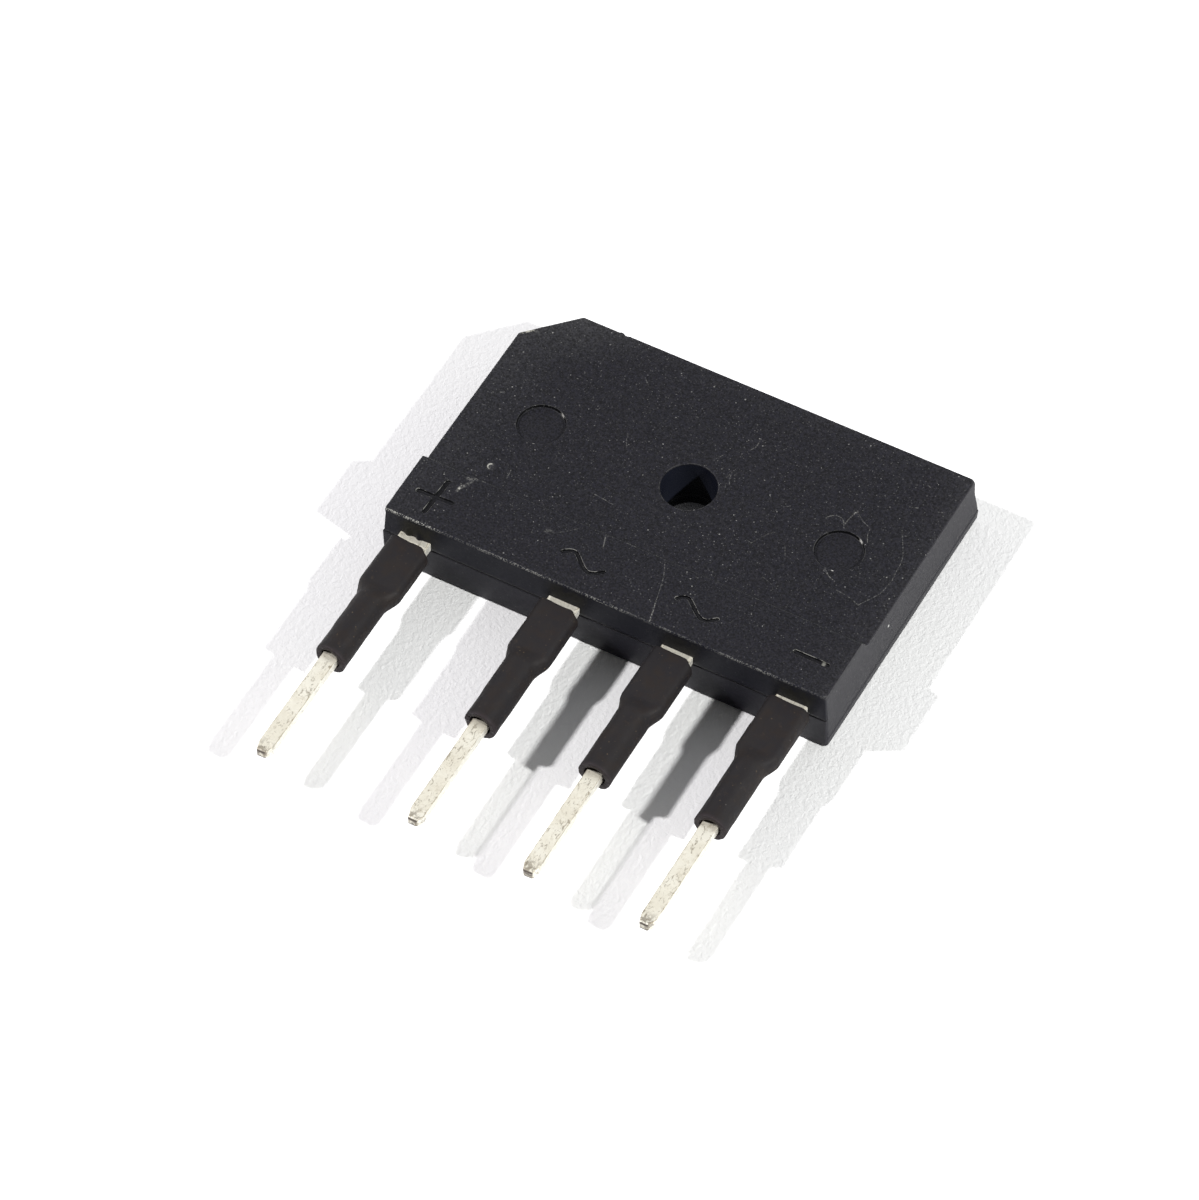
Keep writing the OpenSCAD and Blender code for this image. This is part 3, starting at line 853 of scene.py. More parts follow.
sleeves = []
for i, key in enumerate(LEAD_N):
    s = SLEEVES[key]
    cx = LEAD_X[i]
    a = np.arange(NS) * 2 * PI / NS
    start = lerp(s["s0"], s["s1"], (np.cos(a) + 1) / 2) - 0.03 * np.sin(a)
    start = start + 0.015 * vnoise(np.cos(a) * 2, np.sin(a) * 2, 0.5, s["seed"] + 5)
    # the corner at the right rolls away from the case
    start = start - 0.30 * smooth((np.cos(a) - 0.62) / 0.38) * (0.25 if i == 3 else 1)
    end = s["end"] + s["lean"] * np.cos(a) + s["tilt"] * np.sin(a)
    end = end + s["ragged"] * (0.6 * vnoise(np.cos(a) * 2, np.sin(a) * 2, 0.8, s["seed"] + 6) + 0.4 * vnoise(np.cos(a) * 2, np.sin(a) * 2, 0.28, s["seed"] + 7))
    if s["notch"]:
        at, deep = s["notch"]
        d = np.abs((a - at + PI) % (2 * PI) - PI)
        end = end + deep * np.exp(-(d / 0.16) ** 2)
    outer_y = list(np.arange(-11.95, -14.3, -0.16)) + list(np.arange(-14.3, -16.3, -0.075)) + list(np.arange(-16.35, -19.9, -0.16))

    def put(q, yy):
        drift = 0.02 * math.sin(0.7 * i + 1)
        return np.column_stack([cx + q[:, 0] + drift * 0, yy, LEAD_M + q[:, 1]])

    rings = []
    # rolled outer edge at the case, down the outside, round the open end, back along the bore
    for e, back in ((0.035, 0.0), (0.012, 0.010), (0.0, 0.04), (0.0, 0.14), (0.0, 0.3)):
        q = sleeve_section(-11.5, s["r"], s["seed"])
        q = q * (1 - e / np.hypot(*q.T))[:, None]
        rings.append(put(q, start - back))
    for y in outer_y:
        q = sleeve_section(y, s["r"], s["seed"])
        # the first rows still follow the slanted start
        k = float(smooth((y + 12.5) / 0.9))
        yy = np.full(NS, y) + k * (start - start.mean()) * 0.8
        rings.append(put(q, yy))
    for e, back in ((0.0, 0.30), (0.0, 0.12), (0.0, 0.05), (0.012, 0.018), (0.04, 0.0)):
        q = sleeve_section(-20.2, s["r"], s["seed"])
        q = q * (1 + 0.012 - e / s["r"])
        rings.append(put(q, end + back))
    r_in = s["r"] - 0.35
    for e, back in ((0.025, 0.0), (0.006, 0.015), (0.0, 0.05), (0.0, 0.2), (0.0, 0.6)):
        q = sleeve_inner(-20, r_in + e)
        rings.append(put(q, end + back + 0.015))
    for y in list(np.arange(-19.4, -15.9, 0.5)) + list(np.arange(-15.85, -14.9, 0.1)) + list(np.arange(-14.7, -12.2, 0.4)) + [-12.0]:
        rings.append(put(sleeve_inner(y, r_in), np.full(NS, y)))
    for e, back in ((0.0, 0.10), (0.0, 0.03), (0.03, 0.005)):
        q = sleeve_inner(-11.5, r_in)
        q = q * (1 + e / np.hypot(*q.T))[:, None]
        rings.append(put(q, start - back))
    tube = loft("sleeve_%s_tube" % key, rings, "loop", 50)
    print("sleeve", key, len(tube.data.polygons), "open", open_edges(tube.data))
    # cut faces are paler: mark the open end
    pc = coords(tube.data)
    rr = np.hypot(pc[:, 0] - cx, pc[:, 2] - LEAD_M)
    cut = smooth((-20.22 - pc[:, 1]) / 0.12) * smooth((rr - 0.55) / 0.1)
    attribute(tube.data, "cut", cut)
    attribute(tube.data, "shoulder", np.exp(-((pc[:, 1] + 15.0) / 0.55) ** 2))
    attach(tube, "root")
    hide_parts("sleeve_" + key)
    sleeves.append(tube)

# ------------------------------------------------------------------ materials


class Nodes:
    """Small builder for shader nodes, with coordinates in millimetres."""

    def __init__(self, name):
        self.mat = bpy.data.materials.new(name)
        self.mat.use_nodes = True
        self.tree = self.mat.node_tree
        self.tree.nodes.clear()
        self.out = self.add("ShaderNodeOutputMaterial")
        self.bsdf = self.add("ShaderNodeBsdfPrincipled")
        self.link(self.bsdf.outputs["BSDF"], self.out.inputs["Surface"])
        tc = self.add("ShaderNodeTexCoord")
        sc = self.add("ShaderNodeVectorMath")
        sc.operation = "SCALE"
        sc.inputs["Scale"].default_value = 1000.0
        self.link(tc.outputs["Object"], sc.inputs[0])
        self.p = sc.outputs[0]
        self.xyz = None

    def add(self, kind):
        return self.tree.nodes.new(kind)

    def link(self, a, b):
        self.tree.links.new(a, b)

    def feed(self, socket, value):
        if isinstance(value, bpy.types.NodeSocket):
            self.link(value, socket)
        else:
            socket.default_value = value

    def math(self, op, a, b=0.0, c=0.0, clamp=False):
        n = self.add("ShaderNodeMath")
        n.operation, n.use_clamp = op, clamp
        for s, v in zip(n.inputs, (a, b, c)):
            self.feed(s, v)
        return n.outputs[0]

    def mul(self, a, b):
        return self.math("MULTIPLY", a, b)

    def axis(self, k):
        if self.xyz is None:
            n = self.add("ShaderNodeSeparateXYZ")
            self.link(self.p, n.inputs[0])
            self.xyz = n.outputs
        return self.xyz[k]

    def noise(self, per_mm, detail=2.0, rough=0.5, vec=None, distort=0.0, colour=False):
        n = self.add("ShaderNodeTexNoise")
        n.inputs["Scale"].default_value = per_mm
        n.inputs["Detail"].default_value = detail
        n.inputs["Roughness"].default_value = rough
        n.inputs["Distortion"].default_value = distort
        self.link(vec or self.p, n.inputs["Vector"])
        return n.outputs["Color" if colour else "Fac"]

    def stretch(self, sx, sy, sz, offset=(0, 0, 0)):
        n = self.add("ShaderNodeMapping")
        n.inputs["Scale"].default_value = (sx, sy, sz)
        n.inputs["Location"].default_value = offset
        self.link(self.p, n.inputs["Vector"])
        return n.outputs[0]

    def cells(self, per_mm, vec=None, randomness=1.0):
        """Distance to the nearest cell point, and the cell's random colour."""
        n = self.add("ShaderNodeTexVoronoi")
        n.inputs["Scale"].default_value = per_mm
        n.inputs["Randomness"].default_value = randomness
        self.link(vec or self.p, n.inputs["Vector"])
        s = self.add("ShaderNodeSeparateColor")
        self.link(n.outputs["Color"], s.inputs[0])
        return n.outputs["Distance"], s.outputs

    def span(self, v, a, b, lo=0.0, hi=1.0):
        """Smooth step of v from a to b."""
        n = self.add("ShaderNodeMapRange")
        n.interpolation_type = "SMOOTHSTEP"
        n.inputs["From Min"].default_value = a
        n.inputs["From Max"].default_value = b
        n.inputs["To Min"].default_value = lo
        n.inputs["To Max"].default_value = hi
        self.link(v, n.inputs["Value"])
        return n.outputs[0]

    def attr(self, name):
        n = self.add("ShaderNodeAttribute")
        n.attribute_name = name
        return n.outputs["Fac"]

    def mix(self, f, a, b, how="MIX"):
        n = self.add("ShaderNodeMix")
        n.data_type, n.blend_type = "RGBA", how
        self.feed(n.inputs[0], f)
        for s, v in ((n.inputs[6], a), (n.inputs[7], b)):
            self.feed(s, v if isinstance(v, bpy.types.NodeSocket) else (*v, 1.0)[:4])
        return n.outputs[2]

    def specks(self, per_mm, radius, share, seed=0.0, vec=None):
        """Small round specks: about that share of the cells has one, each of its own strength."""
        src = vec
        if src is None:
            src = self.stretch(1, 1, 1, (seed, seed * 1.7, seed * 0.6))
        d, c = self.cells(per_mm, src)
        pick = self.math("GREATER_THAN", c[0], 1.0 - share)
        size = self.math("MULTIPLY_ADD", c[1], 0.7 * radius * per_mm, 0.45 * radius * per_mm)
        dot = self.math("SUBTRACT", 1.0, self.math("DIVIDE", d, size), clamp=True)
        dot = self.math("MULTIPLY", dot, 2.2, clamp=True)
        return self.mul(self.mul(dot, pick), self.math("MULTIPLY_ADD", c[2], 0.8, 0.2))

    def bump(self, height, distance_mm, strength=1.0, normal=None):
        n = self.add("ShaderNodeBump")
        n.inputs["Strength"].default_value = strength
        n.inputs["Distance"].default_value = distance_mm * MM
        self.link(height, n.inputs["Height"])
        if normal is not None:
            self.link(normal, n.inputs["Normal"])
        return n.outputs[0]


def case_material():
    m = Nodes("matte_black_moulding")
    x, y, z = m.axis(0), m.axis(1), m.axis(2)
    # base: charcoal resin with a fine grain
    grain = m.noise(8.0, 3.0, 0.75)
    grain2 = m.noise(4.2, 2.0, 0.6, vec=m.stretch(1, 1, 1, (3, 1, 7)))
    tint = m.noise(5.0, 2.0, 0.6, vec=m.stretch(1, 1, 1, (31, 7, 3)))
    col = m.mix(m.span(tint, 0.35, 0.65), (0.0088, 0.0087, 0.0125), (0.0101, 0.0098, 0.0120))
    # painted sheen: the marked side is paler toward its left, far and right edges
    d_left = m.math("MINIMUM", m.math("ADD", x, 14.85), m.math("MULTIPLY", m.math("SUBTRACT", m.math("ADD", x, 20.495), y), 0.7071))
    on_top = m.span(z, 3.38, 3.45)
    left_k = m.mul(m.math("SUBTRACT", 1.0, m.math("DIVIDE", d_left, 4.2), clamp=True), m.math("MULTIPLY_ADD", m.math("MAXIMUM", y, 0.0), 0.2, 1.0))
    far_k = m.math("EXPONENT", m.math("DIVIDE", m.math("SUBTRACT", y, 8.6), 0.8))
    right_k = m.math("EXPONENT", m.math("SUBTRACT", x, 14.7))
    extra = m.math("ADD", m.mul(left_k, 0.0064), m.math("ADD", m.mul(far_k, 0.0062), m.mul(right_k, 0.0074)))
    extra = m.mul(extra, on_top)
    pale = m.math("MULTIPLY_ADD", extra, 1.0 / 0.05, 0.0, clamp=True)
    col = m.mix(pale, col, (0.050, 0.050, 0.050))
    shade_ = m.math("MULTIPLY_ADD", m.span(grain, 0.34, 0.66), 1.20, 0.40)
    shade_ = m.mul(shade_, m.math("MULTIPLY_ADD", m.span(grain2, 0.3, 0.7), 0.20, 0.90))
    g = m.add("ShaderNodeMix")
    g.data_type, g.blend_type = "RGBA", "MULTIPLY"
    g.inputs[0].default_value = 1.0
    m.link(col, g.inputs[6])
    m.link(shade_, g.inputs[7])
    col = g.outputs[2]
    # painted reflection: the right wall is paler, standing in for the bright floor it mirrors
    wall = m.span(x, 14.56, 14.64)
    col = m.mix(m.mul(wall, 0.6), col, (0.044, 0.043, 0.048))
    # ejector recesses have a clean smooth floor
    plain = None
    for cx, cy in RECESS:
        d = m.math("SQRT", m.math("ADD", m.math("POWER", m.math("SUBTRACT", x, cx), 2.0), m.math("POWER", m.math("SUBTRACT", y, cy), 2.0)))
        c = m.span(d, 1.41, 1.46)
        plain = c if plain is None else m.mul(plain, c)
        # painted shade: the steep wall of each recess is nearly black
        recess_wall_shade = m.mul(m.span(m.math("ABSOLUTE", m.math("SUBTRACT", d, 1.475)), 0.030, 0.012), on_top)
        col = m.mix(m.mul(recess_wall_shade, 0.9), col, (0.0010, 0.0010, 0.0012))
        rim = m.span(m.math("ABSOLUTE", m.math("SUBTRACT", d, 1.512)), 0.028, 0.008)
        spot = m.span(m.noise(2.4, 2.0, 0.6, vec=m.stretch(1, 1, 0.3, (cx, 4, 6))), 0.42, 0.60)
        rim = m.mul(m.mul(rim, spot), m.span(z, 3.60, 3.68))
        col = m.mix(m.mul(rim, 0.35 if cx > 0 else 0.22), col, (0.11, 0.11, 0.10))
        # lit bead low on the rim, and the glint on the far wall
        for ang, rad, far_, amp in ((-78, 1.53, 0.10, 0.9 if cx > 0 else 0.25), (58, 1.478, 0.24, 1.0 if cx > 0 else 0.75)):
            bx, by = cx + rad * math.cos(math.radians(ang)), cy + rad * math.sin(math.radians(ang))
            e = m.math("SQRT", m.math("ADD", m.math("POWER", m.math("SUBTRACT", x, bx), 2.0), m.math("POWER", m.math("SUBTRACT", y, by), 2.0)))
            bead = m.mul(m.span(e, far_, 0.03), m.span(m.math("ABSOLUTE", m.math("SUBTRACT", d, rad)), 0.034, 0.014))
            col = m.mix(m.mul(m.mul(bead, on_top), amp), col, (0.55, 0.545, 0.51))
    # filler grains: many faint, few bright; pale grain colour with painted glints
    s1 = m.specks(4.3, 0.047, 0.95, 3.0)
    s2 = m.specks(2.3, 0.052, 0.45, 11.0)
    s3 = m.specks(6.5, 0.042, 0.75, 23.0)
    dens = m.span(m.noise(0.35, 2.0, 0.5, vec=m.stretch(1, 1, 1, (9, 4, 2))), 0.3, 0.7, 0.6, 1.2)
    few = m.math("MULTIPLY_ADD", plain, 0.88, 0.12)
    col = m.mix(m.mul(m.mul(s3, few), 0.75), col, (0.046, 0.046, 0.046))
    col = m.mix(m.mul(m.mul(m.mul(s1, few), dens), 0.85), col, (0.105, 0.104, 0.101))
    col = m.mix(m.mul(m.mul(m.mul(s2, few), dens), 0.9), col, (0.26, 0.257, 0.245))
    # lead side: bluish above the joint line, greyer below it; paler toward the right end, a painted highlight
    front = m.span(y, -10.30, -10.42)
    above = m.mul(front, m.span(z, 2.60, 2.66))
    below = m.mul(front, m.span(z, 2.60, 2.54))
    col = m.mix(m.mul(above, 0.85), col, (0.0026, 0.0030, 0.0076))
    # painted highlight: paler toward the right end above the joint line
    col = m.mix(m.mul(m.mul(above, m.span(x, 9.5, 12.5)), 0.6), col, (0.0085, 0.0085, 0.0135))
    col = m.mix(m.mul(below, 0.60), col, (0.0105, 0.0100, 0.0155))
    # painted highlight: paler toward the right end below the joint line
    col = m.mix(m.mul(m.mul(below, m.span(x, 10.8, 13.0)), 0.8), col, (0.025, 0.0245, 0.030))
    seam = m.mul(m.span(y, -10.30, -10.36), m.span(m.math("ABSOLUTE", m.math("SUBTRACT", z, 2.60)), 0.070, 0.045))
    col = m.mix(m.mul(seam, 0.95), col, (0.0008, 0.0008, 0.0010))
    # brown flux stain over each lead
    stain = None
    for lx, k in zip(LEAD_X, (1.0, 0.75, 0.6, 0.85)):
        d = m.math("ABSOLUTE", m.math("SUBTRACT", x, lx + 0.15))
        c = m.mul(m.span(d, 1.75, 0.7), k)
        stain = c if stain is None else m.math("MAXIMUM", stain, c)
    rag = m.span(m.noise(1.4, 3.0, 0.6), 0.25, 0.6)
    stain = m.mul(m.mul(m.mul(stain, m.span(z, 4.62, 4.2)), above), rag)
    col = m.mix(m.mul(stain, 0.85), col, (0.0125, 0.0116, 0.0080))
    # rubbed edges: crisp beads of pale worn grain with painted highlights on the front edge, fading to the right
    edge = m.mul(m.span(y, -10.33, -10.38), m.span(z, 4.44, 4.50))
    bead = m.span(m.noise(15.0, 1.0, 0.6, vec=m.stretch(1, 0.7, 0.7, (5, 2, 8))), 0.50, 0.57)
    run = m.math("MAXIMUM", m.span(x, -10.0, -12.0), m.span(m.noise(0.30, 1.0, 0.5, vec=m.stretch(1, 0.2, 0.2, (3, 9, 1))), 0.35, 0.60, 0.16, 0.50))
    col = m.mix(m.mul(m.mul(edge, bead), run), col, (0.27, 0.267, 0.245))
    # foot line of the raised band: faint, stronger in two places
    st = m.mul(m.span(m.math("ABSOLUTE", m.math("ADD", y, 5.985)), 0.045, 0.012), m.span(z, 4.44, 4.54))
    sb = m.span(m.noise(5.5, 2.0, 0.65, vec=m.stretch(1, 0.5, 0.5, (15, 12, 8))), 0.50, 0.64)
    hot = m.math("MAXIMUM", m.span(m.math("ABSOLUTE", m.math("SUBTRACT", x, -0.2)), 2.6, 0.8), m.span(m.math("ABSOLUTE", m.math("ADD", x, 11.0)), 0.8, 0.4))
    hot = m.math("MAXIMUM", hot, m.span(m.math("ABSOLUTE", m.math("SUBTRACT", x, 7.6)), 1.8, 0.2, 0.0, 0.35))
    col = m.mix(m.mul(m.mul(st, sb), m.math("MULTIPLY_ADD", hot, 0.60, 0.14)), col, (0.15, 0.148, 0.138))
    col = m.mix(m.mul(st, 0.22), col, (0.045, 0.045, 0.045))
    # moulded marks: painted shade on the groove walls and floors, painted highlights in a few lit beads
    pit = m.attr("pit")
    groove_shade = m.math("MULTIPLY", m.mul(pit, m.math("SUBTRACT", 1.0, pit)), 4.0, clamp=True)
    col = m.mix(m.mul(groove_shade, 0.9), col, (0.0009, 0.0009, 0.0012))
    col = m.mix(m.mul(m.span(pit, 0.5, 0.9), 0.55), col, (0.0016, 0.0016, 0.0020))
    lit = m.mul(m.span(pit, 0.01, 0.08), m.span(pit, 0.35, 0.14))
    spark = m.span(m.noise(2.6, 2.0, 0.6, vec=m.stretch(1, 1, 1, (6, 6, 1))), 0.44, 0.56)
    col = m.mix(m.mul(m.mul(lit, spark), 0.8), col, (0.27, 0.266, 0.245))
    # painted glint at the right end of the minus mark
    minus_end_glint = m.mul(m.span(m.math("ABSOLUTE", m.math("SUBTRACT", x, 13.32)), 0.16, 0.03), m.span(pit, 0.03, 0.2))
    col = m.mix(m.mul(minus_end_glint, 0.6), col, (0.24, 0.237, 0.21))
    # scratches, dents and chips, with the dent's lit side a painted highlight: broken into fine dots
    wear_and_dent_highlight = m.attr("wear_and_dent_highlight")
    dots = m.span(m.noise(9.0, 2.0, 0.7, vec=m.stretch(1, 1, 1, (2, 17, 5))), 0.46, 0.60)
    w = m.mul(wear_and_dent_highlight, m.math("MULTIPLY_ADD", dots, 0.82, 0.10))
    w = m.math("MULTIPLY", w, 0.85, clamp=True)
    col = m.mix(w, col, (0.25, 0.247, 0.23))
    # small marks: a lit crescent on the dent, the bright end of the scrape by the plus, a faint smudge
    for px, py, r0, thick, cut_x, amp in ((-11.05, -4.18, 0.19, 0.05, 0.04, 0.85), (-11.47, -7.10, 0.0, 0.10, 9.0, 0.75)):
        e = m.math("SQRT", m.math("ADD", m.math("POWER", m.math("SUBTRACT", x, px), 2.0), m.math("POWER", m.math("SUBTRACT", y, py), 2.0)))
        c = m.mul(m.span(m.math("ABSOLUTE", m.math("SUBTRACT", e, r0)), thick, thick * 0.3), m.span(m.math("SUBTRACT", x, px), cut_x, cut_x - 0.1))
        c = m.mul(m.mul(c, on_top), m.span(m.noise(6.0, 2.0, 0.6), 0.34, 0.50))
        col = m.mix(m.mul(c, amp), col, (0.36, 0.355, 0.32))
    e = m.math("SQRT", m.math("ADD", m.math("POWER", m.math("DIVIDE", m.math("SUBTRACT", x, SMUDGE[0]), 0.42), 2.0), m.math("POWER", m.math("DIVIDE", m.math("SUBTRACT", y, SMUDGE[1]), 0.30), 2.0)))
    smear = m.mul(m.span(e, 1.0, 0.3), m.span(m.noise(4.0, 3.0, 0.7, vec=m.stretch(1, 1.8, 1, (3, 3, 3))), 0.50, 0.66))
    col = m.mix(m.mul(m.mul(smear, m.span(z, 4.5, 4.58)), 0.6), col, (0.10, 0.099, 0.092))
    # chip at the cut corner: pale broken facets above an olive border
    along = m.math("ABSOLUTE", m.math("ADD", m.math("ADD", x, 14.33), m.math("SUBTRACT", y, 5.97)))
    broken = m.mul(m.mul(m.span(along, 0.62, 0.45), m.span(d_left, 0.36, 0.28)), m.span(z, 3.42, 3.48))
    facet = m.span(m.noise(4.5, 2.0, 0.6, vec=m.stretch(1, 1, 1, (7, 2, 2))), 0.44, 0.54)
    col = m.mix(m.mul(broken, 0.6), col, (0.020, 0.019, 0.012))
    col = m.mix(m.mul(m.mul(broken, facet), 0.9), col, (0.40, 0.39, 0.33))
    # the hole's wall is dark and polished
    rr = m.math("SQRT", m.math("ADD", m.math("POWER", x, 2.0), m.math("POWER", y, 2.0)))
    bore = m.mul(m.span(rr, 1.78, 1.75), m.span(z, 3.64, 3.58))
    col = m.mix(m.mul(bore, 0.95), col, (0.0100, 0.0115, 0.0185))
    ring_ = m.mul(m.span(m.math("ABSOLUTE", m.math("SUBTRACT", rr, 1.765)), 0.025, 0.006), on_top)
    rb_ = m.span(m.noise(2.2, 2.0, 0.6, vec=m.stretch(1, 1, 0.3, (4, 9, 6))), 0.44, 0.62)
    col = m.mix(m.mul(m.mul(ring_, rb_), 0.35), col, (0.10, 0.10, 0.09))
    # right wall: a few pale scuffs near the far corner, one pale speck
    streak = m.span(m.noise(2.6, 3.0, 0.6, vec=m.stretch(1, 1.0, 0.45, (4, 4, 4))), 0.60, 0.74)
    zone = m.mul(m.span(m.math("ABSOLUTE", m.math("SUBTRACT", y, 5.0)), 1.6, 0.5), m.span(z, 3.2, 1.4))
    col = m.mix(m.mul(m.mul(m.mul(wall, streak), zone), 0.5), col, (0.16, 0.155, 0.145))
    e = m.math("SQRT", m.math("ADD", m.math("POWER", m.math("ADD", y, 2.81), 2.0), m.math("POWER", m.math("SUBTRACT", z, 2.64), 2.0)))
    col = m.mix(m.mul(m.mul(wall, m.span(e, 0.12, 0.05)), 0.95), col, (0.55, 0.55, 0.53))
    m.feed(m.bsdf.inputs["Base Color"], col)
    # finish
    rough = m.math("MULTIPLY_ADD", m.span(grain2, 0.25, 0.75), 0.08, 0.50)
    rough = m.math("SUBTRACT", rough, m.mul(bore, 0.40))
    m.feed(m.bsdf.inputs["Roughness"], rough)
    m.bsdf.inputs["IOR"].default_value = 1.5
    m.bsdf.inputs["Specular IOR Level"].default_value = 0.17
    h = m.math("MULTIPLY_ADD", m.noise(14.0, 2.0, 0.6), 0.7, m.mul(grain2, 0.5))
    h = m.math("ADD", h, m.mul(s1, 0.6))
    m.feed(m.bsdf.inputs["Normal"], m.bump(h, 0.012, 0.55))
    return m.mat


def lead_material():
    m = Nodes("tinned_copper")
    x, y, z = m.axis(0), m.axis(1), m.axis(2)
    big = m.noise(0.8, 3.0, 0.6)
    mid = m.noise(3.2, 4.0, 0.65, distort=0.4)
    fine = m.noise(11.0, 3.0, 0.6)
    col = m.mix(m.span(big, 0.35, 0.65), (0.70, 0.665, 0.56), (0.77, 0.745, 0.65))
    col = m.mix(m.span(mid, 0.48, 0.70, 0.0, 0.7), col, (0.52, 0.48, 0.39))
    # rubbed and dirty marks, mostly along the edges
    scr = m.noise(2.6, 4.0, 0.7, vec=m.stretch(1.6, 0.7, 1.2, (3, 5, 1)), distort=0.9)
    col = m.mix(m.span(scr, 0.55, 0.64, 0.0, 0.75), col, (0.25, 0.215, 0.155))
    col = m.mix(m.mul(m.specks(2.2, 0.07, 0.6, 5.0), 0.85), col, (0.13, 0.11, 0.08))
    # where the flat side turns into the edge the tin is thin: a brown line, broken
    geo = m.add("ShaderNodeNewGeometry")
    gn = m.add("ShaderNodeSeparateXYZ")
    m.link(geo.outputs["Normal"], gn.inputs[0])
    side_x = m.math("ABSOLUTE", gn.outputs[0])
    turn = m.mul(m.span(side_x, 0.12, 0.30), m.span(side_x, 0.75, 0.50))
    worn = m.span(m.noise(1.8, 3.0, 0.65, vec=m.stretch(0.5, 1, 0.5, (9, 3, 4))), 0.36, 0.60)
    col = m.mix(m.mul(m.mul(turn, worn), 0.8), col, (0.30, 0.25, 0.165))
    flat_side = m.span(side_x, 0.75, 0.95)
    col = m.mix(m.mul(flat_side, 0.5), col, (0.86, 0.85, 0.80))
    # darker just inside and outside the sleeve's open end, a painted shade, and at the tip
    shade_ = m.mul(m.span(y, -20.9, -20.45), m.span(y, -14.0, -19.5))
    col = m.mix(m.mul(shade_, 0.55), col, (0.42, 0.38, 0.31))
    # close to the case: painted shade on the middle of the top face between case and sleeve, the rims left bright
    for lx in LEAD_X:
        near = m.mul(m.span(y, -11.02, -10.90), m.span(m.math("ABSOLUTE", m.math("SUBTRACT", x, lx)), 0.90, 0.78))
        gap_shade = m.mul(near, m.span(z, 3.10, 3.16))
        col = m.mix(m.mul(gap_shade, 0.62), col, (0.40, 0.385, 0.34))
    near_tip = m.mul(m.span(y, -26.9, -27.9), m.span(m.noise(2.4, 3.0, 0.65, vec=m.stretch(1.4, 1, 1, (2, 2, 5))), 0.46, 0.60))
    col = m.mix(m.mul(near_tip, 0.75), col, (0.17, 0.14, 0.10))
    tip = m.span(y, -28.00, -28.05)
    zi = m.span(m.math("ABSOLUTE", m.math("SUBTRACT", z, 2.9)), 0.08, 0.22)
    col = m.mix(m.mul(tip, m.math("MAXIMUM", zi, m.span(m.noise(3.0, 2.0, 0.5), 0.45, 0.65, 0.1, 0.8))), col, (0.10, 0.085, 0.07))
    m.feed(m.bsdf.inputs["Base Color"], col)
    m.bsdf.inputs["Metallic"].default_value = 0.45
    rough = m.math("MULTIPLY_ADD", m.span(mid, 0.3, 0.7), 0.18, 0.34)
    m.feed(m.bsdf.inputs["Roughness"], rough)
    h = m.math("MULTIPLY_ADD", mid, 0.9, m.mul(fine, 0.25))
    h = m.math("ADD", h, m.mul(scr, 0.7))
    m.feed(m.bsdf.inputs["Normal"], m.bump(h, 0.05, 0.6))
    return m.mat


def sleeve_material():
    m = Nodes("heat_shrink_tube")
    x, y, z = m.axis(0), m.axis(1), m.axis(2)
    big = m.noise(0.55, 3.0, 0.55)
    mid = m.noise(2.2, 3.0, 0.6)
    fine = m.noise(9.0, 3.0, 0.6)
    col = m.mix(m.span(big, 0.35, 0.65), (0.0092, 0.0078, 0.0092), (0.0108, 0.0088, 0.0092))
    col = m.mix(m.span(mid, 0.5, 0.75, 0.0, 0.5), col, (0.0128, 0.0105, 0.0098))
    dust = m.specks(3.8, 0.05, 0.60, 7.0)
    clump = m.span(m.noise(0.9, 3.0, 0.6, vec=m.stretch(1, 1, 1, (14, 3, 6))), 0.36, 0.64)
    near = m.math("MAXIMUM", m.mul(m.attr("shoulder"), 0.9), 0.55)
    col = m.mix(m.mul(m.mul(dust, clump), near), col, (0.17, 0.125, 0.07))
    patch = m.span(m.noise(1.6, 4.0, 0.7, vec=m.stretch(1, 1, 1, (8, 1, 9))), 0.58, 0.74)
    col = m.mix(m.mul(m.mul(patch, near), 0.45), col, (0.062, 0.042, 0.024))
    brown = m.span(m.noise(0.8, 3.0, 0.6, vec=m.stretch(1, 1, 1, (3, 15, 9))), 0.42, 0.70)
    col = m.mix(m.mul(brown, 0.5), col, (0.0150, 0.0092, 0.0062))
    pale = m.specks(1.1, 0.045, 0.22, 17.0)
    col = m.mix(m.mul(pale, 0.6), col, (0.20, 0.19, 0.17))
    cut = m.attr("cut")
    col = m.mix(m.mul(cut, 0.55), col, (0.026, 0.019, 0.022))
    m.feed(m.bsdf.inputs["Base Color"], col)
    rough = m.math("MULTIPLY_ADD", m.span(mid, 0.3, 0.7), 0.10, 0.60)
    m.feed(m.bsdf.inputs["Roughness"], rough)
    m.bsdf.inputs["Specular IOR Level"].default_value = 0.25
    h = m.math("MULTIPLY_ADD", fine, 0.5, m.mul(mid, 0.8))
    m.feed(m.bsdf.inputs["Normal"], m.bump(h, 0.018, 0.5))
    return m.mat


def chip_material():
    m = Nodes("silicon_chip")
    n = m.noise(1.2, 2.0, 0.5)
    col = m.mix(m.span(n, 0.35, 0.65), (0.055, 0.060, 0.075), (0.075, 0.078, 0.088))
    col = m.mix(m.mul(m.specks(5.0, 0.04, 0.3, 2.0), 0.5), col, (0.2, 0.2, 0.2))
    m.feed(m.bsdf.inputs["Base Color"], col)
    m.bsdf.inputs["Metallic"].default_value = 0.35
    m.feed(m.bsdf.inputs["Roughness"], m.span(n, 0.3, 0.7, 0.18, 0.28))
    m.feed(m.bsdf.inputs["Normal"], m.bump(m.noise(20.0, 2.0, 0.5), 0.004, 0.4))
    return m.mat


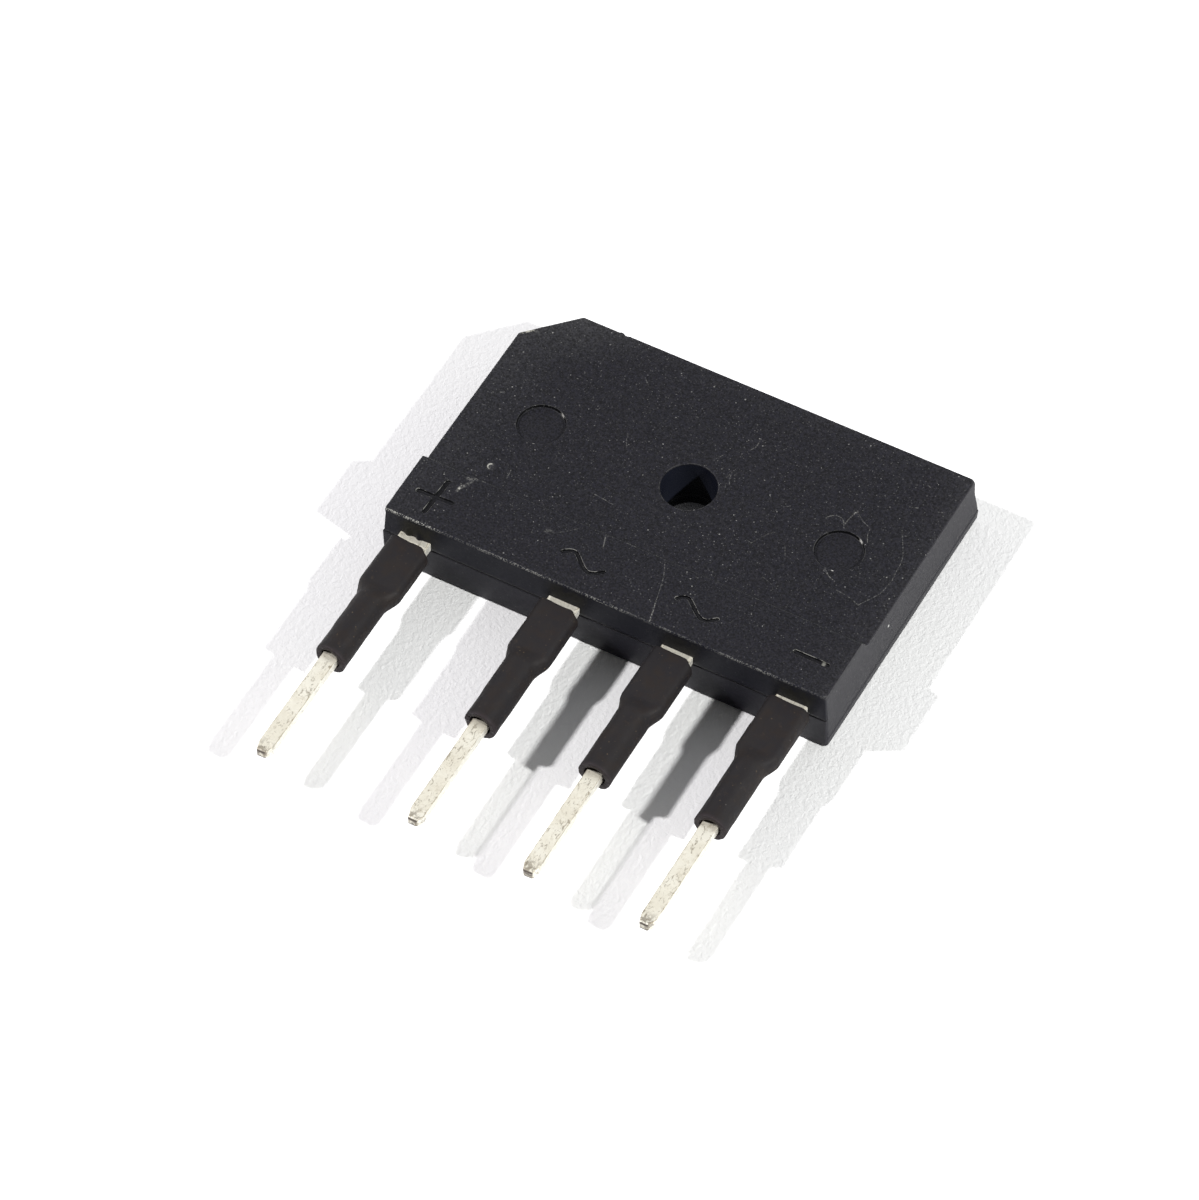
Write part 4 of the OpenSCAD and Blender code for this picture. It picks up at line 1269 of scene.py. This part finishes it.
def clip_material():
    m = Nodes("copper_strip")
    n = m.noise(2.0, 3.0, 0.6, vec=m.stretch(0.4, 2.5, 1.0))
    col = m.mix(m.span(n, 0.3, 0.7), (0.62, 0.28, 0.15), (0.74, 0.38, 0.22))
    col = m.mix(m.span(m.noise(0.9, 3.0, 0.6), 0.5, 0.75, 0.0, 0.5), col, (0.38, 0.17, 0.09))
    m.feed(m.bsdf.inputs["Base Color"], col)
    m.bsdf.inputs["Metallic"].default_value = 1.0
    m.feed(m.bsdf.inputs["Roughness"], m.span(n, 0.3, 0.7, 0.28, 0.42))
    m.feed(m.bsdf.inputs["Normal"], m.bump(n, 0.01, 0.5))
    return m.mat


def solder_material():
    m = Nodes("soft_solder")
    n = m.noise(3.0, 3.0, 0.6)
    col = m.mix(m.span(n, 0.3, 0.7), (0.52, 0.53, 0.55), (0.66, 0.66, 0.67))
    m.feed(m.bsdf.inputs["Base Color"], col)
    m.bsdf.inputs["Metallic"].default_value = 0.9
    m.feed(m.bsdf.inputs["Roughness"], m.span(n, 0.3, 0.7, 0.3, 0.5))
    m.feed(m.bsdf.inputs["Normal"], m.bump(n, 0.02, 0.5))
    return m.mat


def floor_material():
    m = Nodes("white_paper")
    col = m.mix(m.span(m.noise(0.05, 2.0, 0.5), 0.3, 0.7), (0.90, 0.895, 0.90), (0.91, 0.91, 0.905))
    m.feed(m.bsdf.inputs["Base Color"], col)
    m.bsdf.inputs["Roughness"].default_value = 0.85
    m.bsdf.inputs["Specular IOR Level"].default_value = 0.2
    h = m.math("MULTIPLY_ADD", m.noise(3.2, 3.0, 0.6, distort=0.4), 1.0, m.mul(m.noise(7.0, 2.0, 0.6), 0.35))
    m.feed(m.bsdf.inputs["Normal"], m.bump(h, 0.09, 0.7))
    return m.mat


def give(ob, mat):
    if len(ob.data.materials) == 0:
        ob.data.materials.append(mat)
    else:
        for k in range(len(ob.data.materials)):
            ob.data.materials[k] = mat


case_mat, lead_mat, sleeve_mat = case_material(), lead_material(), sleeve_material()
chip_mat, clip_mat, solder_mat = chip_material(), clip_material(), solder_material()
give(case, case_mat)
give(nodes["case"], case_mat)
for key, a, b in zip(LEAD_N, leads, sleeves):
    give(a, lead_mat)
    give(b, sleeve_mat)
    give(nodes["lead_" + key], lead_mat)
    give(nodes["sleeve_" + key], sleeve_mat)
for name, ob in nodes.items():
    if name.startswith("diode"):
        give(ob, chip_mat)
    elif name.startswith("clip"):
        give(ob, clip_mat)
    elif name.startswith("solder"):
        give(ob, solder_mat)

# ------------------------------------------------------------------ floor, light, camera

fv = [(-900, -900, 0), (900, -900, 0), (900, 900, 0), (-900, 900, 0)]
floor = new_mesh("floor", fv, [(0, 1, 2, 3)])
floor.location.z = -0.00002
give(floor, floor_material())


def lamp(name, direction, distance, size, watts, colour):
    d = Vector(direction).normalized()
    data = bpy.data.lights.new(name, "AREA")
    data.shape = "DISK"
    data.size = size
    data.energy = watts
    data.color = colour
    ob = bpy.data.objects.new(name, data)
    ob.location = Vector((0.0, -0.006, 0.003)) + d * distance
    ob.rotation_mode = "QUATERNION"
    ob.rotation_quaternion = (-d).to_track_quat("-Z", "Y")
    bpy.context.scene.collection.objects.link(ob)
    return ob


lamp("key_right", (0.763, -0.116, 0.636), 0.60, 0.034, 3.75, (0.995, 1.0, 0.985))
lamp("key_left", (-0.636, -0.285, 0.718), 0.60, 0.034, 3.42, (1.0, 0.985, 1.0))

world = bpy.data.worlds.new("studio")
bpy.context.scene.world = world
world.use_nodes = True
wt = world.node_tree
bg = wt.nodes["Background"]
bg.inputs["Color"].default_value = (0.97, 0.98, 1.0, 1.0)
# most of the soft light comes from behind the part
wc = wt.nodes.new("ShaderNodeTexCoord")
ws = wt.nodes.new("ShaderNodeSeparateXYZ")
wr = wt.nodes.new("ShaderNodeMapRange")
wr.interpolation_type = "SMOOTHSTEP"
wr.inputs["From Min"].default_value = -0.35
wr.inputs["From Max"].default_value = 0.60
wr.inputs["To Min"].default_value = 0.035
wr.inputs["To Max"].default_value = 0.66
wt.links.new(wc.outputs["Generated"], ws.inputs[0])
wt.links.new(ws.outputs["Y"], wr.inputs["Value"])
wt.links.new(wr.outputs[0], bg.inputs["Strength"])
lp = wt.nodes.new("ShaderNodeLightPath")
bg2 = wt.nodes.new("ShaderNodeBackground")
bg2.inputs["Color"].default_value = (0.93, 0.93, 0.94, 1.0)
bg2.inputs["Strength"].default_value = 0.95
mx = wt.nodes.new("ShaderNodeMixShader")
wt.links.new(lp.outputs["Is Camera Ray"], mx.inputs[0])
wt.links.new(bg.outputs[0], mx.inputs[1])
wt.links.new(bg2.outputs[0], mx.inputs[2])
wt.links.new(mx.outputs[0], wt.nodes["World Output"].inputs["Surface"])

AZ, EL, ROLL = math.radians(30.8071), math.radians(52.821), math.radians(-2.0154)
DIST, TARGET, FOCAL = 343.227, Vector((-1.2193, -8.6864, 2.0)), 5878.67
back_ = Vector((math.sin(AZ) * math.cos(EL), -math.cos(AZ) * math.cos(EL), math.sin(EL)))
right_ = Vector((math.cos(AZ), math.sin(AZ), 0.0))
up_ = back_.cross(right_)
r2 = right_ * math.cos(ROLL) + up_ * math.sin(ROLL)
u2 = right_ * -math.sin(ROLL) + up_ * math.cos(ROLL)
cam_data = bpy.data.cameras.new("camera")
cam_data.sensor_width = 36.0
cam_data.lens = FOCAL * 36.0 / 1200.0
cam_data.clip_start, cam_data.clip_end = 0.01, 10.0
cam = bpy.data.objects.new("camera", cam_data)
bpy.context.scene.collection.objects.link(cam)
at = (TARGET + back_ * DIST) * MM
cam.matrix_world = Matrix(((r2.x, u2.x, back_.x, at.x), (r2.y, u2.y, back_.y, at.y), (r2.z, u2.z, back_.z, at.z), (0, 0, 0, 1)))
bpy.context.scene.camera = cam

view = bpy.context.scene.view_settings
view.view_transform = "Standard"
view.look = "None"
view.exposure = 0.0
view.gamma = 1.0
